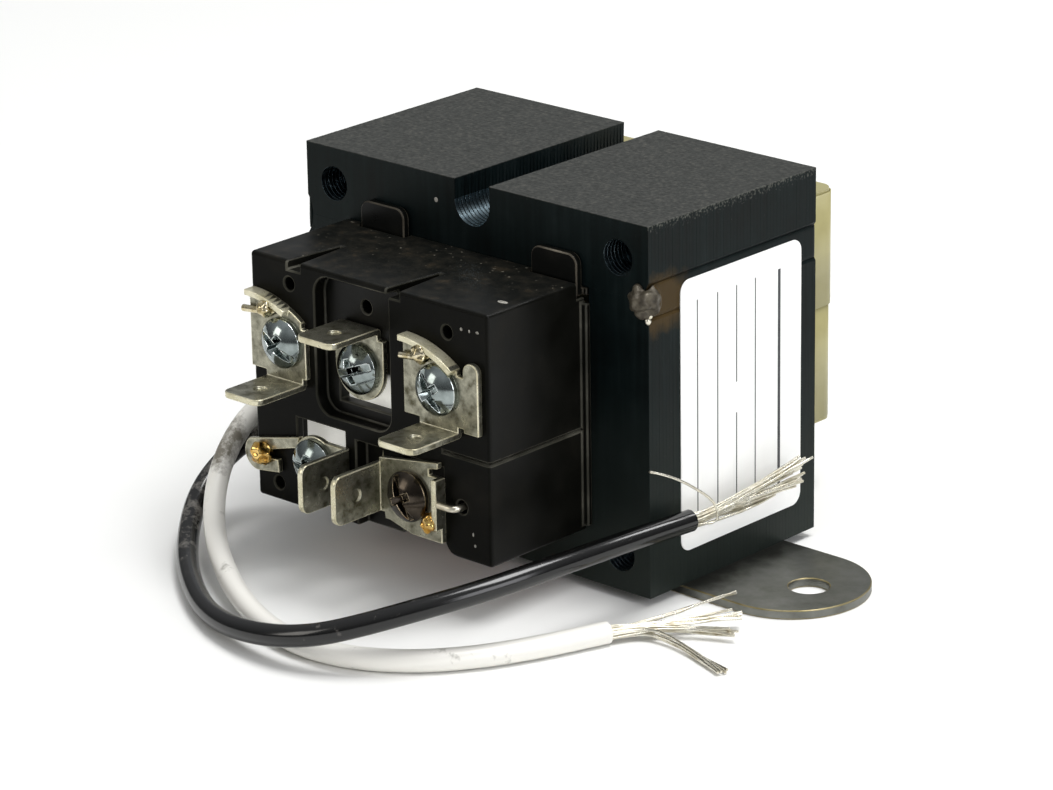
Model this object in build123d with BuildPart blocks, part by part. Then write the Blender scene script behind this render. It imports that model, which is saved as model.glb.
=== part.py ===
import os
from math import cos, pi, radians, sin, tan

from build123d import *

os.makedirs("parts", exist_ok=True)

# Foot strip with round ends
foot_thick = 1.2
foot_width = 20.0
foot_arc_reach = 37.7
foot_hole_reach = 40.6
foot_hole_d = 5.1

# Scrapless E and I laminations, laid out in one unit, stacked along Y
lam_unit = 9.525
stack = 31.75
bolt_hole_d = 4.5
groove_width = 5.8
groove_depth = 5.6
seam_height = 5.0
seam_depth = 0.8
seam_gap = 0.05
weld_blob_r = 2.3
weld_blob_inset = 0.9

core_width = 6 * lam_unit
core_base = foot_thick
window_floor = core_base + lam_unit
joint_z = core_base + 4 * lam_unit
core_top = core_base + 5 * lam_unit
core_front = -stack / 2
core_back = stack / 2
bolt_x = 2.5 * lam_unit
window_outer = 2 * lam_unit
leg_half = lam_unit

# Bobbin: tube round the centre leg, flanges in the windows, ears on the core's front
leg_clearance = 0.2
tube_wall = 1.0
flange_thick = 1.0
flange_clearance = 0.15
flange_side_gap = 0.35
ear_inner = 10.7
ear_outer = 18.1
ear_top = 42.2
ear_thick = 1.0
ear_corner = 1.4

# Windings and wrap, measured out from the tube and from the core's faces
winding_gap = 0.1
primary_build = 2.6
primary_front = 5.5
primary_back = 6.5
sleeve_wall = 0.3
winding_corner = 3.0
wrap_wall = 0.6
wrap_back_wall = 0.8
wrap_side_room = 2.35
wrap_block_room = 1.0
wrap_proud = 0.1
wrap_back = 16.1
wrap_front_corner = 4.0
wrap_back_corner = 2.0
wrap_back_low = 8.3
wrap_back_high = 39.5
wrap_flare = 1.5

# Terminal block in front of the core, measured from the core's middle, front and underside
block_left = 21.6
block_side_room = 0.3
block_depth = 17.3
block_low = 6.6
block_high = 38.8
block_wall = 1.4
block_roof = 1.6
block_front_wall = 3.6
block_edge = 0.5
lower_wall = 1.2
lower_wall_reach = 1.7
rim_wide = 0.9
rim_thick = 0.8
rim_low = 7.4
rim_high = 36.2
ear_room = 0.2
pocket_left = 10.6
pocket_right = 2.0
pocket_low = 20.0
pocket_high = 37.9
pocket_depth = 1.9
pocket_corner = 2.4
window_low = 21.7
window_high = 31.0
window_left = 8.4
window_right = 0.9
left_foot_right = 14.3
post_left = 6.0
post_ridge = 1.9
right_foot_left = 10.6
left_notch_high = 18.5
right_notch_high = 17.8
notch_corner = 2.2
parting_z = 19.9
parting_width = 0.3
parting_depth = 0.3
wire_hole_d = 1.7
slit_mouth = 2.2
slit_end = 0.6
slit_lean = 1.0
slit_deep = 1.2
slit_long = 8.6
lead_gate_reach = 7.4
lead_gate_low = 11.6
lead_gate_high = 21.2
wire_holes = [(-14.9, 35.8), (-3.5, 34.7), (11.7, 35.3), (13.6, 13.4), (-17.8, 9.0)]
slits = [-15.2, 1.7]

# Insulating sheet between the block's front wall and the coil
barrier_thick = 0.35
barrier_room = 0.05
barrier_side_room = 0.2

# Terminals: stampings laid out across and up from their screws, before each is turned
metal = 0.8
plate_left = 5.7
plate_low = 4.2
plate_high = 2.3
plate_right = {"narrow": 3.8, "finger": 4.1}
finger_right = 6.5
finger_high = 4.3
finger_low = 4.7
plain_half = 4.1
corner_edge = 5.35
corner_plate = [(-3.8, -5.1), (-5.3, 4.8), (-4.5, 4.8), (-4.2, 3.3), (-3.4, 3.3),
                (-3.4, corner_edge), (5.0, corner_edge), (5.0, 0.3), (4.0, -3.4), (4.0, -4.2)]
lug_disc_r = 3.6
lug_top = [(2.9, 2.6), (0.8, 11.5)]
lug_bend = (-1.5, 12.3)
lug_under = [(-3.2, 10.1), (-2.7, 6.4), (-1.0, 6.5), (-1.2, 9.0)]
lug_slot_bend = (-0.65, 9.6)
lug_inside = [(-0.1, 9.0), (0.2, 7.3), (1.4, 3.0)]
bend_offset = 5.3
tab_width = 6.35
tab_reach = 7.9
tab_nose = 1.2
tab_dimple_d = 1.7
tab_dimple_deep = 0.3
tab_dimple_reach = 4.2
lip_reach = 1.0
lip_top = 6.0
lip_radius = 15.0
plate_arc = 36
lip_arc = {"narrow": 27, "finger": 36}
corner_lip = (-3.4, 3.1)
hole_clearance = 0.1
heel_radius = 0.7
# Screw place across and up, on the block's face or in the middle cell, turn, outline
terminals = {
    "top_left": (-15.4, 28.3, "face", 0, "narrow"),
    "top_centre": (-4.2, 26.9, "cell", 180, "plain"),
    "top_right": (10.8, 28.1, "face", 0, "finger"),
    "bottom_left": (-10.6, 13.4, "face", 90, "lug"),
    "bottom_right": (5.6, 13.2, "face", -90, "corner"),
}

# Screws with a domed head and a combined slot and cross drive
screw_d = 3.5
screw_under = 1.6
head_d = 6.5
head_rim = 0.6
head_dome = 1.5
drive_width = 1.1
drive_deep = 1.1
cross_long = 4.4
screw_room = 0.4
drive_turns = {"top_left": 35, "top_centre": -20, "top_right": 55, "bottom_left": 10, "bottom_right": 65}

# Coil ends and their solder
wire_d = 0.9
wire_room = 0.05
solder_r = 1.25
solder_turn = (25, 140, 0)
lug_solder_r = 1.6
solder_side = 2.2
solder_up = 4.2
lug_solder_at = (-0.6, 9.0)
corner_solder_at = (2.4, 3.95)
coil_end_low = 3.3
coil_end_high = 3.7
coil_end_in = 2.0
coil_end_out = {"top_left": 6.3, "top_right": 5.6}

# Bare label on the right side
label_thick = 0.12
label_front = 5.8
label_width = 23.4
label_low = 2.5
label_height = 36.0
label_corner = 2.2

# Leads: insulation and bare strands
lead_d = 2.8
strand_d = 0.42
strand_pitch = 0.5
strand_gap = 0.25
lead_fill = 0.45
# From the wrap, out of the gate in the block's left wall, forward and down to the floor
white_route = [
    (-16.8, -20.5, 19.8), (-20.5, -20.6, 19.7), (-24.5, -21.7, 18.9), (-27.5, -23.6, 17.3),
    (-29.4, -26.1, 15.1), (-30.0, -28.9, 12.5), (-29.1, -32.6, 9.3), (-26.0, -37.0, 6.2),
    (-21.0, -41.5, 3.8), (-14.5, -45.9, 2.4), (-7.8, -49.7, 1.8), (-0.9, -52.6, 1.5),
    (5.5, -54.1, 1.45), (11.2, -53.8, 1.45), (16.2, -52.0, 1.45), (20.9, -48.6, 1.45),
    (24.6, -44.1, 1.45), (27.5, -39.0, 1.45), (29.9, -33.3, 1.45), (31.9, -27.6, 1.45),
]
black_route = [
    (-16.8, -18.3, 15.0), (-20.5, -18.4, 14.9), (-25.5, -19.7, 14.1), (-29.7, -22.6, 12.3),
    (-32.1, -27.0, 9.7), (-32.2, -31.7, 7.1), (-30.7, -35.7, 5.0), (-27.5, -40.1, 3.0),
    (-22.8, -44.9, 1.7), (-17.0, -49.5, 1.45), (-10.9, -53.5, 1.5), (-4.7, -56.3, 2.0),
    (1.4, -57.6, 2.8), (7.2, -57.7, 3.8), (12.5, -56.3, 5.1), (17.2, -53.3, 6.8),
    (21.5, -48.9, 8.4), (26.0, -41.8, 9.9), (29.0, -32.8, 11.0), (30.5, -22.6, 11.2),
    (30.8, -11.0, 10.6),
]
white_strand_ends = [(42.9, -15.6, 2.2), (43.6, -16.4, 3.1), (42.2, -14.6, 3.3), (40.6, -12.6, 2.2),
                     (37.4, -9.4, 3.0), (43.8, -17.4, 1.3), (48.5, -25.0, 0.8)]
black_strand_ends = [(31.8, 10.1, 12.5), (32.8, 9.4, 12.2), (32.4, 8.8, 13.7), (31.2, 10.2, 13.6),
                     (30.8, 9.6, 12.2), (31.1, 9.0, 11.1), (32.3, 10.4, 11.2)]


def front_plane(distance):
    """Plane in front of the core, its X to the right, its Y up and its Z to the front."""
    return Plane.XZ.offset(stack / 2 + distance)


def half_round(flat, deep):
    """Radius of the arc with this chord and this depth."""
    return (flat * flat / 4 + deep * deep) / (2 * deep)


def save(part, name):
    part.label = name
    export_step(part, f"parts/{name}.step")


# Core: E sheets below the joint, I sheets above it
seam_r = half_round(seam_height, seam_depth)
seam_x = core_width / 2 + seam_r - seam_depth

with BuildPart() as core_e:
    with BuildSketch(Plane.XZ.offset(-stack / 2)):
        with Locations((0, core_base + 2 * lam_unit)):
            Rectangle(core_width, 4 * lam_unit)
        with Locations((-1.5 * lam_unit, window_floor), (1.5 * lam_unit, window_floor)):
            Rectangle(lam_unit, 3 * lam_unit, align=(Align.CENTER, Align.MIN), mode=Mode.SUBTRACT)
        with Locations((-bolt_x, core_base + lam_unit / 2), (bolt_x, core_base + lam_unit / 2)):
            Circle(bolt_hole_d / 2, mode=Mode.SUBTRACT)
        with Locations((-seam_x, joint_z), (seam_x, joint_z)):
            Circle(seam_r, mode=Mode.SUBTRACT)
    extrude(amount=stack)
save(core_e.part, "core_e_stack")

with BuildPart() as core_i:
    with BuildSketch(Plane.XZ.offset(-stack / 2)):
        with Locations((0, joint_z)):
            Rectangle(core_width, lam_unit, align=(Align.CENTER, Align.MIN))
        with Locations((-bolt_x, core_top - lam_unit / 2), (bolt_x, core_top - lam_unit / 2)):
            Circle(bolt_hole_d / 2, mode=Mode.SUBTRACT)
        with Locations((-seam_x, joint_z), (seam_x, joint_z)):
            Circle(seam_r, mode=Mode.SUBTRACT)
        with Locations((0, core_top - groove_depth + groove_width / 2)):
            Circle(groove_width / 2, mode=Mode.SUBTRACT)
            Rectangle(groove_width, groove_depth, align=(Align.CENTER, Align.MIN), mode=Mode.SUBTRACT)
    extrude(amount=stack)
save(core_i.part, "core_i_stack")

# Weld seam in each side groove, with a blob over the right one's front end
for side, side_name in ((-1, "left"), (1, "right")):
    side_face = side * (core_width / 2 - seam_gap)
    with BuildPart() as weld:
        if side > 0:
            with Locations((side * (core_width / 2 - weld_blob_inset), core_front, joint_z)):
                Sphere(weld_blob_r)
            with Locations((0, core_front, joint_z)):
                Box(core_width, 4 * weld_blob_r, 4 * weld_blob_r,
                    align=(Align.CENTER, Align.MIN, Align.CENTER), mode=Mode.SUBTRACT)
        with BuildSketch(Plane.XZ.offset(-stack / 2)):
            with Locations((side * seam_x, joint_z)):
                Circle(seam_r - seam_gap)
            with Locations((side_face, joint_z)):
                Rectangle(seam_r, seam_height, align=(Align.MAX if side > 0 else Align.MIN, Align.CENTER),
                          mode=Mode.INTERSECT)
        extrude(amount=stack)
    save(weld.part, f"seam_weld_{side_name}")

# Foot strip under the core
with BuildPart() as foot:
    with BuildSketch():
        SlotCenterToCenter(2 * foot_arc_reach, foot_width)
        with Locations((-foot_hole_reach, 0), (foot_hole_reach, 0)):
            Circle(foot_hole_d / 2, mode=Mode.SUBTRACT)
    extrude(amount=foot_thick)
save(foot.part, "mounting_foot")

# Bobbin
flange_low = window_floor + flange_clearance
flange_high = joint_z - flange_clearance
winding_low = flange_low + flange_thick
winding_high = flange_high - flange_thick
tube_in_x = leg_half + leg_clearance
tube_in_y = stack / 2 + leg_clearance
tube_out_x = tube_in_x + tube_wall
tube_out_y = tube_in_y + tube_wall
flange_half = window_outer - flange_side_gap
ear_front = core_front - flange_clearance - ear_thick

# Coil and block, out from the windows and the block's walls
wrap_half = window_outer - wrap_side_room
wrap_back_half = flange_half + wrap_proud
wrap_front = block_depth - block_front_wall - wrap_block_room
secondary_half = wrap_half - wrap_wall - winding_gap
secondary_front = wrap_front - wrap_wall - winding_gap
secondary_back = wrap_back - wrap_back_wall - winding_gap
block_right = wrap_half + block_side_room + block_wall
cavity_front = block_depth - block_front_wall

with BuildPart() as bobbin:
    with BuildSketch(Plane.XY.offset(winding_low)):
        Rectangle(2 * tube_out_x, 2 * tube_out_y)
        Rectangle(2 * tube_in_x, 2 * tube_in_y, mode=Mode.SUBTRACT)
    extrude(amount=winding_high - winding_low)
    for level in (flange_low, winding_high):
        with BuildSketch(Plane.XY.offset(level)):
            Rectangle(2 * flange_half, stack)
            Rectangle(2 * tube_in_x, 2 * tube_in_y, mode=Mode.SUBTRACT)
        extrude(amount=flange_thick)
    for side in (-1, 1):
        ear_mid = side * (ear_inner + ear_outer) / 2
        with BuildSketch(Plane.XZ.offset(-ear_front - ear_thick)):
            with Locations((ear_mid, winding_high)):
                Rectangle(ear_outer - ear_inner, core_base + ear_top - winding_high,
                          align=(Align.CENTER, Align.MIN))
        extrude(amount=ear_thick)
        with BuildSketch(Plane.XY.offset(winding_high)):
            with Locations((ear_mid, ear_front)):
                Rectangle(ear_outer - ear_inner, core_front - ear_front, align=(Align.CENTER, Align.MIN))
        extrude(amount=flange_thick)
    ear_tops = bobbin.edges().filter_by(Axis.Y).group_by(Axis.Z)[-1]
    fillet(ear_tops, ear_corner)
save(bobbin.part, "bobbin")


def outline(half, front, back, corner, mode=Mode.ADD):
    """Rounded plan outline round the centre leg, reaching out from the core's two faces."""
    with Locations((0, (back - front) / 2)):
        RectangleRounded(2 * half, stack + front + back, corner, mode=mode)


# Windings, from the tube outwards
tube_end = leg_clearance + tube_wall
sleeve_out = sleeve_wall + winding_gap
primary_half = tube_out_x + winding_gap + primary_build
winding_tall = winding_high - winding_low - 2 * winding_gap
layers = {
    "primary_winding": (
        (primary_half, primary_front, primary_back, winding_corner),
        (tube_out_x + winding_gap, tube_end + winding_gap, tube_end + winding_gap, winding_gap)),
    "insulation_sleeve": (
        (primary_half + sleeve_out, primary_front + sleeve_out, primary_back + sleeve_out,
         winding_corner + sleeve_out),
        (primary_half + winding_gap, primary_front + winding_gap, primary_back + winding_gap,
         winding_corner + winding_gap)),
    "secondary_winding": (
        (secondary_half, secondary_front, secondary_back, winding_corner),
        (primary_half + sleeve_out + winding_gap, primary_front + sleeve_out + winding_gap,
         primary_back + sleeve_out + winding_gap, winding_corner + sleeve_out + winding_gap)),
}
for layer_name, (outside, inside) in layers.items():
    with BuildPart() as layer:
        with BuildSketch(Plane.XY.offset(winding_low + winding_gap)):
            outline(*outside)
            outline(*inside, mode=Mode.SUBTRACT)
        extrude(amount=winding_tall)
    save(layer.part, layer_name)

# Tape wrap: straight in front, flaring through the windows, taller behind the core
wrap_y_front = core_front - wrap_front
wrap_y_back = core_back + wrap_back

with BuildPart() as wrap:
    with BuildSketch(Plane.XY.offset(winding_low + winding_gap)) as wrap_plan:
        with BuildLine():
            right_side = Polyline((0, wrap_y_front), (wrap_half, wrap_y_front), (wrap_half, core_back),
                                  (wrap_back_half, core_back + wrap_flare),
                                  (wrap_back_half, wrap_y_back), (0, wrap_y_back))
            mirror(right_side, about=Plane.YZ)
        make_face()
        fillet(wrap_plan.vertices().group_by(Axis.Y)[0], wrap_front_corner)
        fillet(wrap_plan.vertices().group_by(Axis.Y)[-1], wrap_back_corner)
    extrude(amount=winding_tall)
    with BuildSketch(Plane.XY.offset(core_base + wrap_back_low)) as wrap_end:
        with Locations((0, core_back + wrap_flare)):
            Rectangle(2 * wrap_back_half, wrap_back - wrap_flare, align=(Align.CENTER, Align.MIN))
        fillet(wrap_end.vertices().group_by(Axis.Y)[-1], wrap_back_corner)
    extrude(amount=wrap_back_high - wrap_back_low)
    with BuildSketch(Plane.XY.offset(winding_low)):
        outline(secondary_half + winding_gap, secondary_front + winding_gap, secondary_back + winding_gap,
                winding_corner)
    extrude(amount=winding_high - winding_low, mode=Mode.SUBTRACT)
save(wrap.part, "coil_wrap")


def span(x_low, z_low, x_high, z_high, mode=Mode.ADD):
    """Upright rectangle between two corners of the current sketch."""
    with Locations(((x_low + x_high) / 2, (z_low + z_high) / 2)):
        Rectangle(x_high - x_low, z_high - z_low, mode=mode)


# Terminal block
with BuildPart() as block:
    with BuildSketch(front_plane(0)):
        span(-block_left, core_base + block_low, block_right, core_base + block_high)
    extrude(amount=block_depth)
    front_edges = block.faces().sort_by(Axis.Y)[0].edges()
    fillet(block.edges().filter_by(Axis.Y) + front_edges, block_edge)
    # Rim against the core, over the edge of its right window
    with BuildSketch(front_plane(0)):
        span(block_right - block_edge, core_base + rim_low, block_right + rim_wide, core_base + rim_high)
    extrude(amount=rim_thick)
    with BuildSketch(front_plane(0)):
        span(-block_left + block_wall, core_base + block_low, block_right - block_wall,
             core_base + block_high - block_roof)
    extrude(amount=cavity_front, mode=Mode.SUBTRACT)
    # Upper middle cell, with the opening behind its terminal
    with BuildSketch(front_plane(block_depth)):
        with Locations(((pocket_right - pocket_left) / 2, core_base + (pocket_low + pocket_high) / 2)):
            RectangleRounded(pocket_left + pocket_right, pocket_high - pocket_low, pocket_corner)
        span(pocket_right - pocket_corner, core_base + pocket_high - pocket_corner,
             pocket_right, core_base + pocket_high)
    extrude(amount=-pocket_depth, mode=Mode.SUBTRACT)
    with BuildSketch(front_plane(block_depth)):
        span(-window_left, core_base + window_low, window_right, core_base + window_high)
    extrude(amount=-block_front_wall, mode=Mode.SUBTRACT)
    # Lower cells, open below, with a post between them
    with BuildSketch(front_plane(block_depth)):
        span(-left_foot_right, core_base, -post_left, core_base + left_notch_high)
        span(pocket_right, core_base, right_foot_left + notch_corner, core_base + block_low + notch_corner)
        with Locations((right_foot_left + notch_corner, core_base + block_low + notch_corner)):
            Circle(notch_corner, mode=Mode.SUBTRACT)
        span(pocket_right, core_base, right_foot_left, core_base + right_notch_high)
    extrude(amount=-block_front_wall, mode=Mode.SUBTRACT)
    with BuildSketch(front_plane(block_depth)):
        span(-post_left + post_ridge, core_base, pocket_right, core_base + right_notch_high)
    extrude(amount=-pocket_depth, mode=Mode.SUBTRACT)
    # Thinner front wall round the lower cells
    with BuildSketch(front_plane(cavity_front)):
        span(-left_foot_right - lower_wall_reach, core_base, -post_left, core_base + left_notch_high)
        span(pocket_right, core_base, right_foot_left + lower_wall_reach, core_base + right_notch_high)
    extrude(amount=block_front_wall - lower_wall, mode=Mode.SUBTRACT)
    # Holes for the terminal screws and the coil ends
    with BuildSketch(front_plane(block_depth)):
        with Locations([(x, core_base + z) for x, z, face, turn, style in terminals.values()]):
            Circle(screw_d / 2 + screw_room)
        with Locations([(x, core_base + z) for x, z in wire_holes]):
            Circle(wire_hole_d / 2)
    extrude(amount=-block_front_wall, mode=Mode.SUBTRACT)
    # Tapered wire slits in the roof
    for slit_x in slits:
        with BuildSketch(Plane.XY.offset(core_base + block_high - slit_deep)):
            with BuildLine():
                Polyline((slit_x, core_front - block_depth), (slit_x + slit_mouth, core_front - block_depth),
                         (slit_x + slit_lean + slit_end, core_front - block_depth + slit_long),
                         (slit_x + slit_lean, core_front - block_depth + slit_long), close=True)
            make_face()
        extrude(amount=slit_deep, mode=Mode.SUBTRACT)
    # Parting line round the right side and the front
    with BuildSketch(Plane.XY.offset(core_base + parting_z - parting_width / 2)):
        with Locations((block_right, core_front)):
            Rectangle(parting_depth, block_depth, align=(Align.MAX, Align.MAX))
        with Locations((right_foot_left, core_front - block_depth)):
            Rectangle(block_right - right_foot_left, parting_depth, align=(Align.MIN, Align.MIN))
    extrude(amount=parting_width, mode=Mode.SUBTRACT)
    # Room for the bobbin's ears, and the gate for the leads in the left wall
    for side in (-1, 1):
        with BuildSketch(Plane.XY.offset(winding_high - ear_room)):
            with Locations((side * (ear_inner - ear_room), core_front)):
                Rectangle(block_right - ear_inner + 2 * ear_room, core_front - ear_front + ear_room,
                          align=(Align.MIN if side > 0 else Align.MAX, Align.MAX))
        extrude(amount=core_base + block_high - winding_high + ear_room, mode=Mode.SUBTRACT)
    with BuildSketch(Plane.YZ.offset(-block_left)):
        span(core_front - lead_gate_reach, core_base + lead_gate_low, core_front, core_base + lead_gate_high)
    extrude(amount=block_wall, mode=Mode.SUBTRACT)
save(block.part, "terminal_block")

# Insulating sheet, standing against the inside of the block's front wall
with BuildPart() as barrier:
    with BuildSketch(front_plane(cavity_front - barrier_room)):
        span(-block_left + block_wall + barrier_side_room, core_base + block_low,
             block_right - block_wall - barrier_side_room,
             core_base + block_high - block_roof - barrier_side_room)
    extrude(amount=-barrier_thick)
save(barrier.part, "barrier_sheet")


def terminal_place(name):
    """Plane on the block's face: its origin at the screw, its Z to the front."""
    x, z, seat, turn, style = terminals[name]
    angle = radians(turn)
    out = block_depth if seat == "face" else block_depth - pocket_depth
    return Plane(origin=(x, core_front - out, core_base + z), x_dir=(cos(angle), 0, sin(angle)),
                 z_dir=(0, -1, 0))


def lip_point(angle, inset=0):
    """Point on the arc along a plate's top, level at the plate's left edge."""
    radius = lip_radius - inset
    return (radius * sin(radians(angle)) - plate_left, lip_top - lip_radius + radius * cos(radians(angle)))


def terminal(place, style):
    with BuildPart() as stamping:
        with BuildSketch(place):
            if style in plate_right:
                span(-plate_left, -plate_low, plate_right[style], plate_high)
                arc_end = lip_point(plate_arc)
                with BuildLine():
                    ThreePointArc(lip_point(0), lip_point(plate_arc / 2), arc_end)
                    Polyline(arc_end, (arc_end[0], 0), (-plate_left, 0), lip_point(0))
                make_face()
            if style == "finger":
                finger_left = plate_right[style]
                finger_top = (finger_right - finger_left) / 2
                span(finger_left, -finger_low, finger_right, finger_high - finger_top)
                with Locations((finger_left + finger_top, finger_high - finger_top)):
                    Circle(finger_top)
            if style == "plain":
                Circle(plain_half)
                span(-plain_half, -plate_low, plain_half, 0)
            if style == "corner":
                with BuildLine():
                    Polyline(*corner_plate, close=True)
                make_face()
            if style == "lug":
                Circle(lug_disc_r)
                with BuildLine():
                    Polyline(*lug_top)
                    ThreePointArc(lug_top[-1], lug_bend, lug_under[0])
                    Polyline(*lug_under)
                    ThreePointArc(lug_under[-1], lug_slot_bend, lug_inside[0])
                    Polyline(*lug_inside, lug_top[0])
                make_face()
            span(-tab_width / 2, -bend_offset, tab_width / 2, -screw_d / 2)
            Circle(screw_d / 2 + hole_clearance, mode=Mode.SUBTRACT)
        extrude(amount=metal)
        # Lip that keeps the wire in
        if style in lip_arc:
            last = lip_arc[style]
            with BuildSketch(place):
                with BuildLine():
                    ThreePointArc(lip_point(0), lip_point(last / 2), lip_point(last))
                    Line(lip_point(last), lip_point(last, metal))
                    ThreePointArc(lip_point(last, metal), lip_point(last / 2, metal), lip_point(0, metal))
                    Line(lip_point(0, metal), lip_point(0))
                make_face()
            extrude(amount=metal + lip_reach)
        if style == "corner":
            with BuildSketch(place):
                span(corner_lip[0], corner_edge - metal, corner_lip[1], corner_edge)
            extrude(amount=metal + lip_reach)
        tab_place = Plane(origin=place.from_local_coords((0, -bend_offset - metal / 2, 0)),
                          x_dir=place.x_dir, z_dir=place.y_dir)
        tab_end = metal + tab_reach
        with BuildSketch(tab_place) as tab:
            span(-tab_width / 2, -tab_end, tab_width / 2, 0)
            fillet(tab.vertices().group_by(Axis.Y)[0], tab_nose)
        extrude(amount=metal)
        for level in (0, metal - tab_dimple_deep):
            with BuildSketch(tab_place.offset(level)):
                with Locations((0, -metal - tab_dimple_reach)):
                    Circle(tab_dimple_d / 2)
            extrude(amount=tab_dimple_deep, mode=Mode.SUBTRACT)
        heel = place.from_local_coords((0, -bend_offset - metal / 2, 0))
        fillet(stamping.edges().sort_by_distance(heel)[0], heel_radius)
    return stamping.part


def screw(place, drive_turn):
    side_view = Plane(origin=place.origin, x_dir=place.x_dir, z_dir=-place.y_dir)
    rim_top = metal + head_rim
    dome_r = half_round(head_d, head_dome)
    dome_mid = rim_top + head_dome - dome_r
    half_angle = radians(Vector(head_d / 2, rim_top - dome_mid, 0).get_angle(Vector(0, 1, 0)) / 2)
    with BuildPart() as fastener:
        with BuildSketch(side_view):
            with BuildLine():
                Polyline((0, rim_top + head_dome), (0, -screw_under), (screw_d / 2, -screw_under),
                         (screw_d / 2, metal), (head_d / 2, metal), (head_d / 2, rim_top))
                ThreePointArc((head_d / 2, rim_top),
                              (dome_r * sin(half_angle), dome_mid + dome_r * cos(half_angle)),
                              (0, rim_top + head_dome))
            make_face()
        revolve(axis=Axis(place.origin, place.z_dir))
        with BuildSketch(place.offset(rim_top + head_dome - drive_deep).rotated((0, 0, drive_turn))):
            Rectangle(head_d, drive_width)
            Rectangle(drive_width, cross_long)
        extrude(amount=drive_deep, mode=Mode.SUBTRACT)
    return fastener.part


stampings = {}
for name in terminals:
    place = terminal_place(name)
    stampings[name] = terminal(place, terminals[name][-1])
    save(stampings[name], f"terminal_{name}")
    save(screw(place, drive_turns[name]), f"screw_{name}")


def straight_wire(start, end, diameter):
    """Round wire between two points."""
    run = Vector(end) - Vector(start)
    with BuildPart() as wire:
        with BuildSketch(Plane(origin=start, z_dir=run)):
            Circle(diameter / 2)
        extrude(amount=run.length)
    return wire.part


def solder(centre, radius, neighbours):
    """Drop of solder with the pieces that it wets taken out of it."""
    with BuildPart() as drop:
        with Locations(centre):
            Sphere(radius, rotation=solder_turn)
        for neighbour in neighbours:
            add(neighbour, mode=Mode.SUBTRACT)
    return drop.part


# Coil ends under the upper lips, with their solder
wire_level = metal + wire_d / 2 + wire_room
for name, out in coil_end_out.items():
    place = terminal_place(name)
    wire = straight_wire(place.from_local_coords((-out, coil_end_low, wire_level)),
                         place.from_local_coords((-coil_end_in, coil_end_high, wire_level)), wire_d)
    save(wire, f"coil_end_{name}")
    drop_at = place.from_local_coords((-solder_side, solder_up, wire_level))
    save(solder(drop_at, solder_r, [wire, stampings[name]]), f"solder_{name}")

# Coil end from the lower right hole to the outside of its lip
hole_x, hole_z = wire_holes[3]
lip_x = terminals["bottom_right"][0] + corner_edge + wire_room
end_y = core_front - block_depth - wire_level
with BuildPart() as coil_end:
    with BuildLine() as coil_end_path:
        FilletPolyline((lip_x, end_y, core_base + hole_z), (hole_x, end_y, core_base + hole_z),
                       (hole_x, core_front - cavity_front, core_base + hole_z), radius=wire_d)
    with BuildSketch(Plane(origin=coil_end_path.line @ 0, z_dir=coil_end_path.line % 0)):
        Circle(wire_d / 2)
    sweep(path=coil_end_path.line)
save(coil_end.part, "coil_end_bottom_right")
place = terminal_place("bottom_right")
corner_drop = place.from_local_coords((*corner_solder_at, wire_level))
save(solder(corner_drop, solder_r, [stampings["bottom_right"]]), "solder_bottom_right")
place = terminal_place("bottom_left")
lug_drop = place.from_local_coords((*lug_solder_at, metal))
with BuildPart() as lug_solder:
    add(solder(lug_drop, lug_solder_r, [stampings["bottom_left"]]))
    split(bisect_by=place, keep=Keep.TOP)
save(lug_solder.part, "solder_bottom_left")

# Bare label on the right side
with BuildPart() as label:
    with BuildSketch(Plane.YZ.offset(core_width / 2)):
        label_mid = (core_front + label_front + label_width / 2, core_base + label_low + label_height / 2)
        with Locations(label_mid):
            RectangleRounded(label_width, label_height, label_corner)
    extrude(amount=label_thick)
save(label.part, "side_label")


# Leads
def bend_radii(route):
    """Largest arc that each corner's two runs allow."""
    points = [Vector(point) for point in route]
    radii = []
    for before, corner, after in zip(points, points[1:], points[2:]):
        turn = radians((corner - before).get_angle(after - corner))
        run = min((corner - before).length, (after - corner).length)
        radii.append(lead_fill * run / tan(turn / 2))
    return radii


def lead(route, name):
    radii = bend_radii(route)
    with BuildPart() as tube:
        with BuildLine() as path:
            FilletPolyline(*route, radius=radii)
        with BuildSketch(Plane(origin=path.line @ 0, z_dir=path.line % 0)):
            Circle(lead_d / 2)
        sweep(path=path.line)
    length = sum(edge.length for edge in path.edges())
    section = pi * lead_d * lead_d / 4
    print(name, "length", round(length, 1), "volume over section", round(tube.part.volume / section, 1))
    print("radii", [round(radius, 1) for radius in radii])
    save(tube.part, name)


def strands(route, ends, name):
    """Bare strands: one in the middle and six round it, each straight to its own end."""
    tip = Vector(route[-1])
    along = (tip - Vector(route[-2])).normalized()
    face = Plane(origin=tip + along * strand_gap, z_dir=along)
    starts = [(0, 0)] + [(strand_pitch * cos(radians(60 * k)), strand_pitch * sin(radians(60 * k)))
                         for k in range(6)]
    # Each end takes the start that lies nearest to its own side
    wires = []
    for end in ends:
        aim = face.to_local_coords(Vector(end))
        start = min(starts, key=lambda s: (s[0] - aim.X) ** 2 + (s[1] - aim.Y) ** 2)
        starts.remove(start)
        wires.append(straight_wire(face.from_local_coords((start[0], start[1], 0)), end, strand_d))
    save(Compound(wires), name)


lead(white_route, "white_lead")
lead(black_route, "black_lead")
strands(white_route, white_strand_ends, "white_lead_strands")
strands(black_route, black_strand_ends, "black_lead_strands")
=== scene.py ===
import math
import random
from functools import partial

import bmesh
import bpy
from mathutils import Matrix, Vector, noise


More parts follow.
